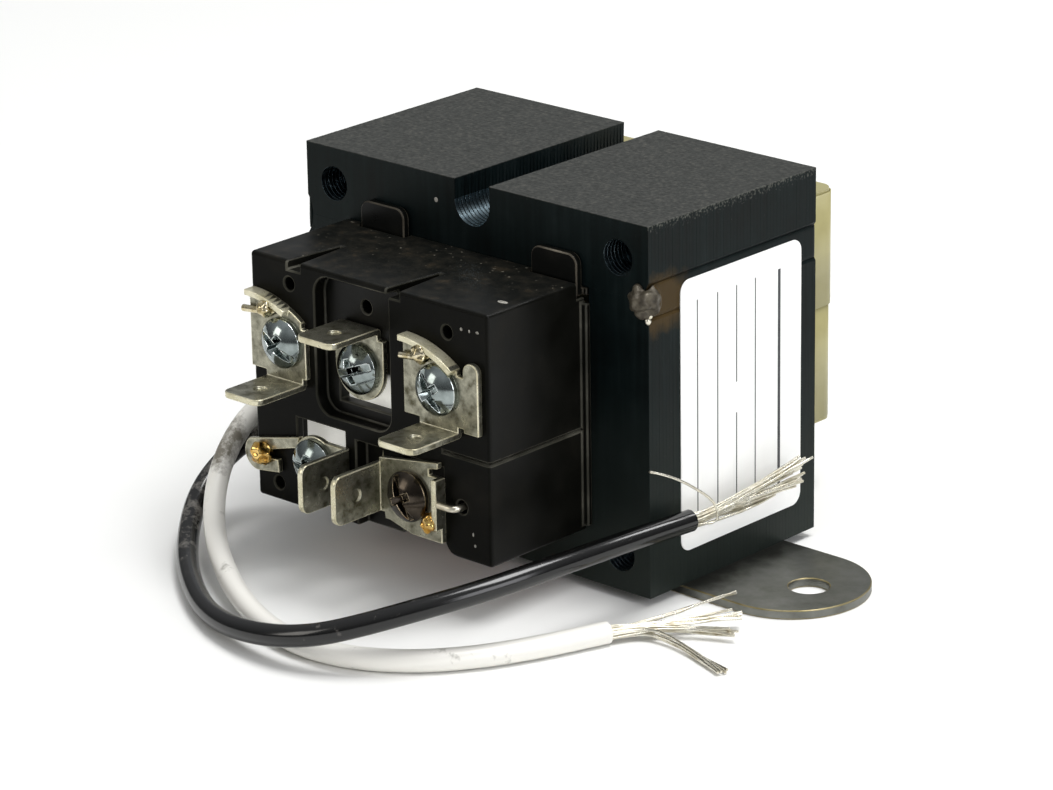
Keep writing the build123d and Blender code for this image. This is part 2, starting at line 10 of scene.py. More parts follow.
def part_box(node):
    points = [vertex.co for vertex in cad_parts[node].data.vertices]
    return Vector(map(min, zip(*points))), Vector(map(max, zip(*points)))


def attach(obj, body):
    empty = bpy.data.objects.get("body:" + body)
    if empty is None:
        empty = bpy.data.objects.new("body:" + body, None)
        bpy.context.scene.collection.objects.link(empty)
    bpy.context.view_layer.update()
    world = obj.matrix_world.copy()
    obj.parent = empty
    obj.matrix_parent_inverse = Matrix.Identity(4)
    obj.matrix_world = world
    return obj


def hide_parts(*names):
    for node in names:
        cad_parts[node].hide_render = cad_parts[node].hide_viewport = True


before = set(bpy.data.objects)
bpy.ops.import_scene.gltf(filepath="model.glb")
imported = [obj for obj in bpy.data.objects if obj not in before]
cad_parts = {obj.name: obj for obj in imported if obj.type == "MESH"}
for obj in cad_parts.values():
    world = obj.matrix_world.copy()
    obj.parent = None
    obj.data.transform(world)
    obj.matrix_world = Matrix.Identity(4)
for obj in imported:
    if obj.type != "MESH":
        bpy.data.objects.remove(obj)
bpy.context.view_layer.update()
mm = 0.001
print("frame loaded:", len(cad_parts), "nodes")


# sRGB hex code to the linear colour that the nodes take
def linear(hexCode):
    parts = [int(hexCode[i:i + 2], 16) / 255 for i in (1, 3, 5)]
    return tuple(c / 12.92 if c <= 0.04045 else ((c + 0.055) / 1.055) ** 2.4 for c in parts) + (1.0,)


# A socket itself, or a node's first live output
def liveOutput(source):
    return source if isinstance(source, bpy.types.NodeSocket) else next(s for s in source.outputs if s.enabled)


# Adds a node with its settings and links. A key is a property or a live input of the node, by number where inputs
# share a name; a hex code is made linear, and stops are the places and colours of a colour ramp
def addNode(tree, kind, settings=None, links=None):
    made = tree.nodes.new(kind)

    def inputAt(key):
        if isinstance(key, int):
            return made.inputs[key]
        return next((s for s in made.inputs if s.name == key and s.enabled), None)

    for key, value in (settings or {}).items():
        if key == "stops":
            elements = made.color_ramp.elements
            while len(elements) < len(value):
                elements.new(0.5)
            for element, (position, colour) in zip(elements, value):
                element.position, element.color = position, linear(colour)
        elif inputAt(key) is not None:
            inputAt(key).default_value = linear(value) if str(value).startswith("#") else value
        else:
            setattr(made, key, value)
    for key, source in (links or {}).items():
        tree.links.new(liveOutput(source), inputAt(key))
    return made


def startMaterial(name, **sockets):
    material = bpy.data.materials.new(name)
    material.use_nodes = True
    tree = material.node_tree
    shader = tree.nodes["Principled BSDF"]
    for key, value in sockets.items():
        shader.inputs[key.replace("_", " ")].default_value = value
    coords = addNode(tree, "ShaderNodeTexCoord").outputs["Object"]
    return material, partial(addNode, tree), coords


# Links finished nodes to the shader's inputs of those names
def feedShader(material, **sources):
    tree = material.node_tree
    for key, source in sources.items():
        tree.links.new(liveOutput(source), tree.nodes["Principled BSDF"].inputs[key.replace("_", " ")])
    return material


def newObject(name, data):
    made = bpy.data.objects.new(name, data)
    bpy.context.scene.collection.objects.link(made)
    return made


def newCurve(name, dimensions="3D"):
    curve = bpy.data.curves.new(name, "CURVE")
    curve.dimensions = dimensions
    return curve


# One more spline on a curve, through or near the points
def addSpline(curve, kind, points, order=None):
    spline = curve.splines.new(kind)
    spline.points.add(len(points) - 1)
    for point, spot in zip(spline.points, points):
        point.co = (*spot, 1)
    if order:  # set after the points, or the spline stays in straight runs
        spline.order_u = order
        spline.use_endpoint_u = True
    return spline


def meshFrom(work, name):
    mesh = bpy.data.meshes.new(name)
    work.to_mesh(mesh)
    work.free()
    return mesh


# Turns a piece with modifiers into a plain mesh under the same name
def settle(piece):
    graph = bpy.context.evaluated_depsgraph_get()
    plain = bpy.data.meshes.new_from_object(piece.evaluated_get(graph))
    name = piece.name
    bpy.data.objects.remove(piece)
    return newObject(name, plain)


def smoothFaces(mesh, angle):
    mesh.polygons.foreach_set("use_smooth", [True] * len(mesh.polygons))
    mesh.set_sharp_from_angle(angle=math.radians(angle))


def paint(piece, *materials):
    piece.data.materials.clear()
    for material in materials:
        piece.data.materials.append(material)
    return piece


def seat(piece, slotName, *nodes):
    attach(piece, "root")
    if nodes:
        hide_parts(*nodes)
    return piece


# A copy of a CAD node's faces, merged into clean flats
def mergedCopy(nodeName, mergeGap=0.002, flatAngle=0.3):
    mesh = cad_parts[nodeName].data.copy()
    work = bmesh.new()
    work.from_mesh(mesh)
    bmesh.ops.remove_doubles(work, verts=work.verts, dist=mergeGap * mm)
    bmesh.ops.dissolve_limit(work, angle_limit=math.radians(flatAngle), verts=work.verts, edges=work.edges)
    work.to_mesh(mesh)
    work.free()
    return mesh


# Round flat no wider than a tab's dimple
def isDimple(face, mesh, radius=0.95, outOfRound=0.05, fewestCorners=10):
    reaches = [(mesh.vertices[k].co - face.center).length for k in face.vertices]
    isRound = max(reaches) - min(reaches) < outOfRound * mm
    return isRound and len(reaches) > fewestCorners and max(reaches) < radius * mm


# Rounds the edges that are sharper than the angle, in the piece's second finish
def easeEdges(piece, width, angle):
    bevel = piece.modifiers.new("eased", "BEVEL")
    bevel.width = width * mm
    bevel.segments = 2
    bevel.limit_method = "ANGLE"
    bevel.angle_limit = math.radians(angle)
    bevel.use_clamp_overlap = False
    bevel.material = 1


# A node's shape with its hard edges eased in a finish of their own, apart from the tabs' dimples
def easedPiece(nodeName, name, width, finish, edgeFinish, angle=32, aroundDimple=1.2):
    piece = paint(newObject(name, mergedCopy(nodeName)), finish, edgeFinish)
    piece.data.polygons.foreach_set("use_smooth", [True] * len(piece.data.polygons))
    dimples = [face.center.copy() for face in piece.data.polygons if isDimple(face, piece.data)]
    easeEdges(piece, width, angle)
    piece.modifiers.new("flatShade", "WEIGHTED_NORMAL").keep_sharp = True
    piece = settle(piece)
    for face in piece.data.polygons:
        if any((face.center - middle).length < aroundDimple * mm for middle in dimples):
            face.material_index = 0
    return piece


# A node's shape as a lump: evened out, pushed about by noise, drawn in to its heart and smoothed.
# Behind calmY it keeps its shape and has a finish of its own
def lumpyPiece(nodeName, name, voxel, lump, push, finish, calmY=None, calmFinish=None, heart=None, squeeze=1.0):
    piece = paint(newObject(name, mergedCopy(nodeName)), finish)
    remesh = piece.modifiers.new("even", "REMESH")
    remesh.mode = "VOXEL"
    remesh.voxel_size = voxel * mm
    piece = settle(piece)
    mesh = piece.data
    moves = [vertex.normal * noise.noise(vertex.co / (lump * mm)) * push * mm for vertex in mesh.vertices]
    for vertex, move in zip(mesh.vertices, moves):
        share = 1.0 if calmY is None else min(1.0, max(0.0, calmY - vertex.co.y / mm))
        vertex.co += move * share
        if heart:
            vertex.co = vertex.co.lerp(Vector(heart) * mm, (1 - squeeze) * share)
    smooth = piece.modifiers.new("run", "SMOOTH")
    smooth.factor, smooth.iterations = 0.5, 4
    piece = paint(settle(piece), finish)
    if calmFinish:
        piece.data.materials.append(calmFinish)
        for face in piece.data.polygons:
            face.material_index = int(face.center.y / mm > calmY + noise.noise(face.center / mm))
    smoothFaces(piece.data, 70)
    return piece


# Geometry Nodes: a tree with named inputs, its last two nodes, and a run that leaves a plain mesh
def startTree(name, **sockets):
    tree = bpy.data.node_groups.new(name, "GeometryNodeTree")
    tree.interface.new_socket("Geometry", in_out="INPUT", socket_type="NodeSocketGeometry")
    tree.interface.new_socket("Geometry", in_out="OUTPUT", socket_type="NodeSocketGeometry")
    for socketName, kind in sockets.items():
        tree.interface.new_socket(socketName, in_out="INPUT", socket_type="NodeSocket" + kind)
    return tree, partial(addNode, tree), tree.nodes.new("NodeGroupInput").outputs


def closeTree(tree, geometry, material, selection=None):
    realised = addNode(tree, "GeometryNodeRealizeInstances", None, {"Geometry": geometry})
    links = {"Geometry": realised, "Material": material}
    if selection:
        links["Selection"] = selection
    painted = addNode(tree, "GeometryNodeSetMaterial", None, links)
    addNode(tree, "NodeGroupOutput", None, {"Geometry": painted})


def growPiece(piece, tree, **values):
    modifier = piece.modifiers.new(tree.name, "NODES")
    modifier.node_group = tree
    for socket in tree.interface.items_tree:
        if socket.in_out == "INPUT" and socket.name in values:
            modifier[socket.identifier] = values[socket.name]
    return settle(piece)


# Camera solved on the core's corners in the photograph
cameraView = {
    "azimuth": 42.594, "elevation": 19.609, "roll": -0.926, "distance": 0.57857,
    "slideRight": 0.006010, "slideUp": 0.018789, "focalPixels": 4588.54, "imageWidth": 1053,
    "target": (0, -0.015875, 0.0012),
}


def placeCamera(view):
    a, e, r = (math.radians(view[k]) for k in ("azimuth", "elevation", "roll"))
    back = Vector((math.sin(a) * math.cos(e), -math.cos(a) * math.cos(e), math.sin(e)))
    right = (-back).cross(Vector((0, 0, 1))).normalized()
    up = right.cross(-back)
    turnedRight = math.cos(r) * right + math.sin(r) * up
    turnedUp = -math.sin(r) * right + math.cos(r) * up
    spot = Vector(view["target"]) + back * view["distance"]
    spot += turnedRight * view["slideRight"] + turnedUp * view["slideUp"]
    data = bpy.data.cameras.new("photoCamera")
    data.sensor_width = 36
    data.lens = view["focalPixels"] / view["imageWidth"] * data.sensor_width
    data.clip_start, data.clip_end = 0.01, 20
    camera = newObject("photoCamera", data)
    camera.matrix_world = Matrix.Translation(spot) @ Matrix((turnedRight, turnedUp, back)).transposed().to_4x4()
    bpy.context.scene.camera = camera


placeCamera(cameraView)

# Soft light: a large panel overhead to the right, two weak fills, a low panel and a small high one behind
lights = {
    "overhead": {"at": (0.25, 0.10, 0.95), "size": 0.45, "power": 6.8, "colour": "#ffffff"},
    "backPanel": {"at": (-0.60, 0.75, 0.42), "size": 0.6, "power": 0.15, "colour": "#f4f8ff"},
    "frontFill": {"at": (-0.45, -0.80, 0.42), "size": 0.4, "power": 1.65, "colour": "#fffaf2"},
    "rightFill": {"at": (0.90, -0.20, 0.35), "size": 0.5, "power": 3.0, "colour": "#fbfbff"},
    "backStrip": {"at": (0.30, 0.75, 0.75), "size": 0.22, "power": 1.6, "colour": "#ffffff"},
}
studio = {"aim": (0, 0, 0.02), "sky": "#f4f6f8", "lowGlow": 0.14, "highGlow": 0.60, "floor": "#f3f3f1", "floorReach": 4}
aim = Vector(studio["aim"])
for lightName, light in lights.items():
    data = bpy.data.lights.new(lightName, "AREA")
    data.size = light["size"]
    data.energy = light["power"]
    data.color = linear(light["colour"])[:3]
    lamp = newObject(lightName, data)
    lamp.location = light["at"]
    lamp.rotation_euler = (aim - Vector(light["at"])).to_track_quat("-Z", "Y").to_euler()

# The sky is brighter overhead than at the horizon
world = bpy.data.worlds.new("studio")
world.use_nodes = True
sky = world.node_tree
background = sky.nodes["Background"]
background.inputs["Color"].default_value = linear(studio["sky"])
upward = addNode(sky, "ShaderNodeSeparateXYZ", None, {0: addNode(sky, "ShaderNodeTexCoord").outputs["Generated"]})
glowRange = {"From Min": 0.1, "From Max": 0.9, "To Min": studio["lowGlow"], "To Max": studio["highGlow"]}
glow = addNode(sky, "ShaderNodeMapRange", glowRange, {"Value": upward.outputs["Z"]})
sky.links.new(glow.outputs[0], background.inputs["Strength"])
bpy.context.scene.world = world
bpy.context.scene.view_settings.view_transform = "Standard"

reach = studio["floorReach"]
floorMesh = bpy.data.meshes.new("floor")
floorCorners = [(x * reach, y * reach, 0) for x, y in ((-1, -1), (1, -1), (1, 1), (-1, 1))]
floorMesh.from_pydata(floorCorners, [], [(0, 1, 2, 3)])
floorPaint = startMaterial("paleFloor", Roughness=0.85, Base_Color=linear(studio["floor"]))[0]
floor = paint(newObject("floor", floorMesh), floorPaint)
print("camera, floor and lights placed")


# Black air-dried varnish over silicon steel: near black with a cold tint, lighter low down as a painted reflection of
# the floor, dusty grey on top with painted top light, amber where the weld's heat and flux ran towards the label, with
# a painted highlight along the top side edges
def makeCoreVarnish():
    material, add, coords = startMaterial("coreVarnish", Specular_IOR_Level=0.12, Specular_Tint=linear("#c6cfc4"))
    place = add("ShaderNodeSeparateXYZ", None, {0: coords}).outputs
    drag = add("ShaderNodeMapping", {"Scale": (1 / (0.9 * mm), 1 / (0.9 * mm), 1 / (16 * mm))}, {"Vector": coords})
    streak = add("ShaderNodeTexNoise", {"Scale": 1.0, "Detail": 3.0}, {"Vector": drag})
    cloud = add("ShaderNodeTexNoise", {"Scale": 1 / (7 * mm), "Detail": 4.0}, {"Vector": coords})
    both = add("ShaderNodeMix", {"Factor": 0.55}, {"A": streak, "B": cloud})
    sideTones = [(0.34, "#060a0b"), (0.52, "#0b1314"), (0.70, "#161d1e")]
    sides = add("ShaderNodeValToRGB", {"stops": sideTones}, {"Fac": both})
    # Painted reflection of the floor: the sides are mixed lighter towards the bottom
    floorReflectionLow = add("ShaderNodeMapRange", {"From Min": 2 * mm, "From Max": 28 * mm, "To Min": 0.9, "To Max": 0.0},
                {"Value": place["Z"]})
    floorReflected = add("ShaderNodeMix", {"data_type": "RGBA", "B": "#262b28"}, {"Factor": floorReflectionLow, "A": sides})
    # Top faces: dust mottling, mixed lighter than the sides as painted top light
    dust = add("ShaderNodeTexNoise", {"Scale": 1 / (0.5 * mm), "Detail": 5.0}, {"Vector": coords})
    dustAndTopLightTones = [(0.30, "#313230"), (0.55, "#3f403e"), (0.75, "#51504b")]
    dustAndTopLight = add("ShaderNodeValToRGB", {"stops": dustAndTopLightTones}, {"Fac": dust})
    onTop = add("ShaderNodeMapRange", {"From Min": 48.70 * mm, "From Max": 48.80 * mm}, {"Value": place["Z"]})
    dusted = add("ShaderNodeMix", {"data_type": "RGBA"}, {"Factor": onTop, "A": floorReflected, "B": dustAndTopLight})
    poolSize = (1 / (7 * mm), 1 / (5.6 * mm), 1 / (4 * mm))
    pool = add("ShaderNodeMapping", {"Location": (-4.1, 2.4, -9.65), "Scale": poolSize}, {"Vector": coords})
    burn = add("ShaderNodeVectorMath", {"operation": "LENGTH"}, {0: pool})
    edge = add("ShaderNodeTexNoise", {"Scale": 1 / (1.6 * mm), "Detail": 3.0}, {"Vector": coords})
    ragged = add("ShaderNodeMath", {"operation": "MULTIPLY_ADD", 1: 0.7}, {0: edge, 2: burn})
    heat = add("ShaderNodeMapRange", {"From Min": 1.0, "From Max": 1.45, "To Min": 0.95, "To Max": 0.0},
               {"Value": ragged})
    behindFace = add("ShaderNodeMapRange", {"From Min": -15.87 * mm, "From Max": -15.6 * mm}, {"Value": place["Y"]})
    sideHeat = add("ShaderNodeMath", {"operation": "MULTIPLY"}, {0: heat, 1: behindFace})
    amber = add("ShaderNodeMix", {"data_type": "RGBA", "B": "#40321b"}, {"Factor": sideHeat, "A": dusted})
    # Painted highlight: a pale broken line along the top side edges, where the sheet edges catch light
    outward = add("ShaderNodeMath", {"operation": "ABSOLUTE"}, {0: place["X"]})
    nearSide = add("ShaderNodeMapRange", {"From Min": 28.35 * mm, "From Max": 28.5 * mm}, {"Value": outward})
    nearTop = add("ShaderNodeMapRange", {"From Min": 47.2 * mm, "From Max": 48.7 * mm}, {"Value": place["Z"]})
    corner = add("ShaderNodeMath", {"operation": "MULTIPLY"}, {0: nearSide, 1: nearTop})
    glintHash = add("ShaderNodeTexNoise", {"Scale": 1 / (0.30 * mm), "Detail": 1.0}, {"Vector": coords})
    edgeGlintMask = add("ShaderNodeMath", {"operation": "MULTIPLY_ADD", 1: 0.34}, {0: corner, 2: glintHash})
    edgeHighlight = add("ShaderNodeMapRange", {"From Min": 0.76, "From Max": 1.0, "To Min": 0.0, "To Max": 0.7},
               {"Value": edgeGlintMask})
    highlighted = add("ShaderNodeMix", {"data_type": "RGBA", "B": "#5f605a"}, {"Factor": edgeHighlight, "A": amber})
    gloss = add("ShaderNodeMapRange", {"From Min": 0.3, "From Max": 0.7, "To Min": 0.34, "To Max": 0.50},
                {"Value": both})
    matt = add("ShaderNodeMix", {"B": 0.55}, {"Factor": onTop, "A": gloss})
    bump = add("ShaderNodeBump", {"Strength": 0.25, "Distance": 0.04 * mm}, {"Height": streak})
    return feedShader(material, Base_Color=highlighted, Roughness=matt, Normal=bump)


# Black-brown compression-moulded phenolic: satin skin, a painted highlight at the front right corner, duller on its
# front, dust and drops of brown varnish on the roof
def makePhenolic(name, dark, middle, pale, roughLow, roughHigh, roofZ=39.8):
    material, add, coords = startMaterial(name)
    place = add("ShaderNodeSeparateXYZ", None, {0: coords}).outputs
    cloud = add("ShaderNodeTexNoise", {"Scale": 1 / (5 * mm), "Detail": 5.0}, {"Vector": coords})
    skin = add("ShaderNodeValToRGB", {"stops": [(0.30, dark), (0.55, middle), (0.75, pale)]}, {"Fac": cloud})
    speck = add("ShaderNodeTexNoise", {"Scale": 1 / (2.2 * mm), "Detail": 7.0, "Roughness": 0.62}, {"Vector": coords})
    roofTones = [(0.42, "#0e0f0d"), (0.58, "#1b1a16"), (0.70, "#2d271e"), (0.84, "#4b4438")]
    roof = add("ShaderNodeValToRGB", {"stops": roofTones}, {"Fac": speck})
    onTop = add("ShaderNodeMapRange", {"From Min": roofZ * mm, "From Max": (roofZ + 0.15) * mm}, {"Value": place["Z"]})
    crumb = add("ShaderNodeTexNoise", {"Scale": 1 / (0.55 * mm), "Detail": 1.0}, {"Vector": coords})
    nearCore = add("ShaderNodeMapRange", {"From Min": -28 * mm, "From Max": -20 * mm, "To Min": 0.0, "To Max": 0.08},
                   {"Value": place["Y"]})
    settled = add("ShaderNodeMath", {"operation": "ADD"}, {0: crumb, 1: nearCore})
    fleck = add("ShaderNodeMapRange", {"From Min": 0.79, "From Max": 0.86}, {"Value": settled})
    dusted = add("ShaderNodeMix", {"data_type": "RGBA", "B": "#6a665c"}, {"Factor": fleck, "A": roof})
    mixed = add("ShaderNodeMix", {"data_type": "RGBA"}, {"Factor": onTop, "A": skin, "B": dusted})
    # Painted highlight: a pale patchy line down the front right corner
    nearRight = add("ShaderNodeMapRange", {"From Min": 18.8 * mm, "From Max": 19.1 * mm}, {"Value": place["X"]})
    nearFront = add("ShaderNodeMapRange", {"From Min": -32.7 * mm, "From Max": -33.0 * mm}, {"Value": place["Y"]})
    corner = add("ShaderNodeMath", {"operation": "MULTIPLY"}, {0: nearRight, 1: nearFront})
    patchy = add("ShaderNodeMath", {"operation": "MULTIPLY"}, {0: corner, 1: speck})
    rubbedAndHighlight = add("ShaderNodeMapRange", {"From Min": 0.30, "From Max": 0.60, "To Min": 0.0, "To Max": 0.9},
                 {"Value": patchy})
    highlighted = add("ShaderNodeMix", {"data_type": "RGBA", "B": "#55544d"}, {"Factor": rubbedAndHighlight, "A": mixed})
    sheen = add("ShaderNodeMapRange", {"From Min": -32.9 * mm, "From Max": -33.1 * mm, "To Min": 0.14, "To Max": 0.05},
                {"Value": place["Y"]})
    gloss = add("ShaderNodeMapRange", {"From Min": 0.3, "From Max": 0.7, "To Min": roughLow, "To Max": roughHigh},
                {"Value": cloud})
    grain = add("ShaderNodeTexNoise", {"Scale": 1 / (0.6 * mm), "Detail": 4.0}, {"Vector": coords})
    bump = add("ShaderNodeBump", {"Strength": 0.16, "Distance": 0.03 * mm}, {"Height": grain})
    return feedShader(material, Base_Color=highlighted, Specular_IOR_Level=sheen, Roughness=gloss, Normal=bump)


# Plated or bare metal: a slow change of tone, fine rolling lines, stains in the low spots
def makeMetal(name, bright, dull, stained, roughLow, roughHigh, cloudMm, lines=0.12, metallic=1.0,
              places=(0.24, 0.42, 0.66)):
    material, add, coords = startMaterial(name, Metallic=metallic)
    cloud = add("ShaderNodeTexNoise", {"Scale": 1 / (cloudMm * mm), "Detail": 5.0, "Roughness": 0.6},
                {"Vector": coords})
    tone = add("ShaderNodeValToRGB", {"stops": list(zip(places, (stained, dull, bright)))}, {"Fac": cloud})
    gloss = add("ShaderNodeMapRange", {"From Min": 0.3, "From Max": 0.7, "To Min": roughHigh, "To Max": roughLow},
                {"Value": cloud})
    lineSize = (1 / (0.2 * mm), 1 / (4 * mm), 1 / (4 * mm))
    rolled = add("ShaderNodeMapping", {"Scale": lineSize, "Rotation": (0.2, 0.4, 0.7)}, {"Vector": coords})
    line = add("ShaderNodeTexNoise", {"Scale": 1.0, "Detail": 2.0}, {"Vector": rolled})
    bump = add("ShaderNodeBump", {"Strength": lines, "Distance": 0.02 * mm}, {"Height": line})
    return feedShader(material, Base_Color=tone, Roughness=gloss, Normal=bump)


# Vinyl insulation: one colour, with patches of soil or scuffs, more of them at the left bend
def makeVinyl(name, clean, soiled, rough, coat, patchMm, bendX, more):
    material, add, coords = startMaterial(name, Roughness=rough, IOR=1.53, Coat_Weight=coat)
    place = add("ShaderNodeSeparateXYZ", None, {0: coords}).outputs
    smear = add("ShaderNodeTexNoise", {"Scale": 1 / (patchMm * mm), "Detail": 6.0, "Roughness": 0.7},
                {"Vector": coords})
    bend = {"From Min": (bendX - 8) * mm, "From Max": bendX * mm, "To Min": -more, "To Max": 0.0}
    handled = add("ShaderNodeMapRange", bend, {"Value": place["X"]})
    rubbedAndHighlight = add("ShaderNodeMath", {"operation": "ADD"}, {0: smear, 1: handled})
    tint = add("ShaderNodeValToRGB", {"stops": [(0.22, soiled), (0.36, clean)]}, {"Fac": rubbedAndHighlight})
    bump = add("ShaderNodeBump", {"Strength": 0.12, "Distance": 0.05 * mm}, {"Height": smear})
    return feedShader(material, Base_Color=tint, Normal=bump)


# Paper, tape and film: a slow change of tone and fibres that run round the coil
def makePaper(name, pale, shade, rough, cloudMm=6):
    material, add, coords = startMaterial(name, Roughness=rough)
    cloud = add("ShaderNodeTexNoise", {"Scale": 1 / (cloudMm * mm), "Detail": 6.0}, {"Vector": coords})
    tint = add("ShaderNodeValToRGB", {"stops": [(0.30, shade), (0.60, pale)]}, {"Fac": cloud})
    fibre = add("ShaderNodeMapping", {"Scale": (1 / (4 * mm), 1 / (4 * mm), 1 / (0.35 * mm))}, {"Vector": coords})
    weave = add("ShaderNodeTexNoise", {"Scale": 1.0, "Detail": 3.0}, {"Vector": fibre})
    bump = add("ShaderNodeBump", {"Strength": 0.25, "Distance": 0.05 * mm}, {"Height": weave})
    return feedShader(material, Base_Color=tint, Normal=bump)


coreVarnish = makeCoreVarnish()
# The block's moulded phenolic, then its eased edges pale as a painted highlight; the bobbin's moulded nylon, its edges
# likewise, has no dusty roof
blockPhenolic = makePhenolic("blockPhenolic", "#070705", "#0c0c09", "#151410", 0.30, 0.44)
wornPhenolic = makePhenolic("wornPhenolic", "#25251f", "#393831", "#5c5a51", 0.26, 0.40)
bobbinNylon = makePhenolic("bobbinNylon", "#060706", "#0a0b09", "#14130f", 0.26, 0.42, 60)
wornNylon = makePhenolic("wornNylon", "#22201b", "#474239", "#7c766a", 0.26, 0.40, 60)
# Stamped brass, hot-tinned: a dull grey skin with brown stains; its cut edges and lips bright and warm as a painted
# highlight
tinnedBrass = makeMetal("tinnedBrass", "#a3a190", "#868475", "#54513f", 0.22, 0.40, 1.7, 0.25, 0.88, (0.33, 0.46, 0.62))
brassEdge = makeMetal("brassEdge", "#e4dfc6", "#c8c2a4", "#9a9170", 0.22, 0.32, 3.0, 0.12, 0.6)
# Zinc plate: cold and bright as a mirror. Bronze passivate: nearly black. Both have paler eased edges, a painted
# highlight
zincPlate = makeMetal("zincPlate", "#9ca5a4", "#808988", "#565e5d", 0.11, 0.20, 2.0, 0.06)
zincEdge = makeMetal("zincEdge", "#dfe5e4", "#c0c8c7", "#959d9c", 0.12, 0.18, 2.0, 0.05)
bronzePlate = makeMetal("bronzePlate", "#4b443c", "#332e28", "#1c1a17", 0.16, 0.28, 2.5, 0.06)
bronzeEdge = makeMetal("bronzeEdge", "#b3a58d", "#84765f", "#4d4233", 0.16, 0.26, 2.0, 0.05)
# Strip steel under thin varnish: dull grey, straw on its cut edges. Punched bores: bare bluish steel
footSteel = makeMetal("footSteel", "#83847f", "#72736d", "#5a5a53", 0.38, 0.50, 4.0, 0.2)
footEdge = makeMetal("footEdge", "#ada283", "#8f845f", "#6f6545", 0.34, 0.46, 3.0, 0.2)
boreSteel = makeMetal("boreSteel", "#93a5ad", "#64747c", "#323d42", 0.22, 0.38, 1.0, 0.1)
# Arc weld under scale: rough and brown, only half a metal to the eye
weldBead = makeMetal("weldBead", "#5a5447", "#3a3429", "#14110c", 0.36, 0.60, 1.0, 0.3, 0.4)
# Tin solder, smooth and bright; the same seen through amber flux; tinned copper strands
solderTin = makeMetal("solderTin", "#e6dec6", "#bcae86", "#5a4c30", 0.12, 0.24, 1.0, 0.05)
fluxedSolder = makeMetal("fluxedSolder", "#e6c67e", "#b8893c", "#6a4718", 0.10, 0.22, 1.1, 0.05)
strandTin = makeMetal("strandTin", "#efece0", "#d3cdbb", "#a99c7e", 0.22, 0.36, 2.0, 0.05)
# Enamelled copper wire: a glossy red-brown
windingEnamel = makeMetal("windingEnamel", "#b3602c", "#8c4219", "#55240d", 0.20, 0.35, 0.8)
# Extruded vinyl: the white one half matt and soiled in wide patches, the black one glossy with small scuffs
whiteVinyl = makeVinyl("whiteVinyl", "#f1efe8", "#7b766a", 0.36, 0.10, 6.0, -22, 0.21)
blackVinyl = makeVinyl("blackVinyl", "#080808", "#6a6762", 0.17, 0.0, 1.8, -16, 0.15)
# Coated paper tape and kraft paper of the coil, the whitened barrier sheet and the coated label stock
creamTape = makePaper("creamTape", "#a59e70", "#989163", 0.36)
sleevePaper = makePaper("sleevePaper", "#b99d6a", "#8f7446", 0.6)
barrierPaper = makePaper("barrierPaper", "#f6f5ef", "#e6e4da", 0.7)
labelStock = makePaper("labelStock", "#fafaf8", "#f3f3f1", 0.38, 9)
# Broken resin: pale, matt and grainy. Printing ink: a flat dark grey
chippedResin = makePaper("chippedResin", "#a5a29a", "#6d6a62", 0.6, 0.5)
labelInk = makePaper("labelInk", "#3b3d40", "#2a2c2e", 0.5, 2)


# A made material's adder of nodes, its coordinates, and their parts along X, Y and Z
def reopen(material):
    add = partial(addNode, material.node_tree)
    coords = material.node_tree.nodes["Texture Coordinate"].outputs["Object"]
    return add, coords, add("ShaderNodeSeparateXYZ", None, {0: coords}).outputs


# A stain over a material's own colour, where the mask says
def addStain(material, mask, colour):
    own = material.node_tree.nodes["Principled BSDF"].inputs["Base Color"].links[0].from_socket
    mixed = addNode(material.node_tree, "ShaderNodeMix", {"data_type": "RGBA", "B": colour}, {"Factor": mask, "A": own})
    feedShader(material, Base_Color=mixed)
    return mixed


# The barrier sheet has a painted glow, though it is no lamp, and is painted dark without the glow, a painted shade,
# behind the upper cells and the lower right one
add, coords, place = reopen(barrierPaper)
sideways = add("ShaderNodeMapRange", {"From Min": -7 * mm, "From Max": -5 * mm}, {"Value": place["X"]})
downward = add("ShaderNodeMapRange", {"From Min": 19.5 * mm, "From Max": 21 * mm, "To Min": 1.0, "To Max": 0.0},
               {"Value": place["Z"]})
lowRight = add("ShaderNodeMath", {"operation": "MULTIPLY"}, {0: sideways, 1: downward})
upper = add("ShaderNodeMapRange", {"From Min": 26.2 * mm, "From Max": 27.2 * mm}, {"Value": place["Z"]})
deepShade = add("ShaderNodeMath", {"operation": "MAXIMUM"}, {0: lowRight, 1: upper})
feedShader(barrierPaper, Emission_Color=addStain(barrierPaper, deepShade, "#0d0c09"))
# Painted glow: the sheet emits light though it is no lamp
barrierPaper.node_tree.nodes["Principled BSDF"].inputs["Emission Strength"].default_value = 0.45

# The foot is dark where the core's varnish ran out onto it
add, coords, place = reopen(footSteel)
outward = add("ShaderNodeMath", {"operation": "ABSOLUTE"}, {0: place["X"]})
runny = add("ShaderNodeTexNoise", {"Scale": 1 / (2.5 * mm), "Detail": 5.0}, {"Vector": coords})
ragged = add("ShaderNodeMath", {"operation": "MULTIPLY_ADD", 1: 8 * mm}, {0: runny, 2: outward})
runOut = add("ShaderNodeMapRange", {"From Min": 33.5 * mm, "From Max": 37 * mm, "To Min": 0.75, "To Max": 0.0},
             {"Value": ragged})
addStain(footSteel, runOut, "#2f302c")
print("materials made")


# Arc in a plane, as a short run of points
def arcPoints(centre, radius, start, end, steps):
    angles = [math.radians(start + (end - start) * k / steps) for k in range(steps + 1)]
    return [(centre[0] + radius * math.cos(a), centre[1] + radius * math.sin(a)) for a in angles]


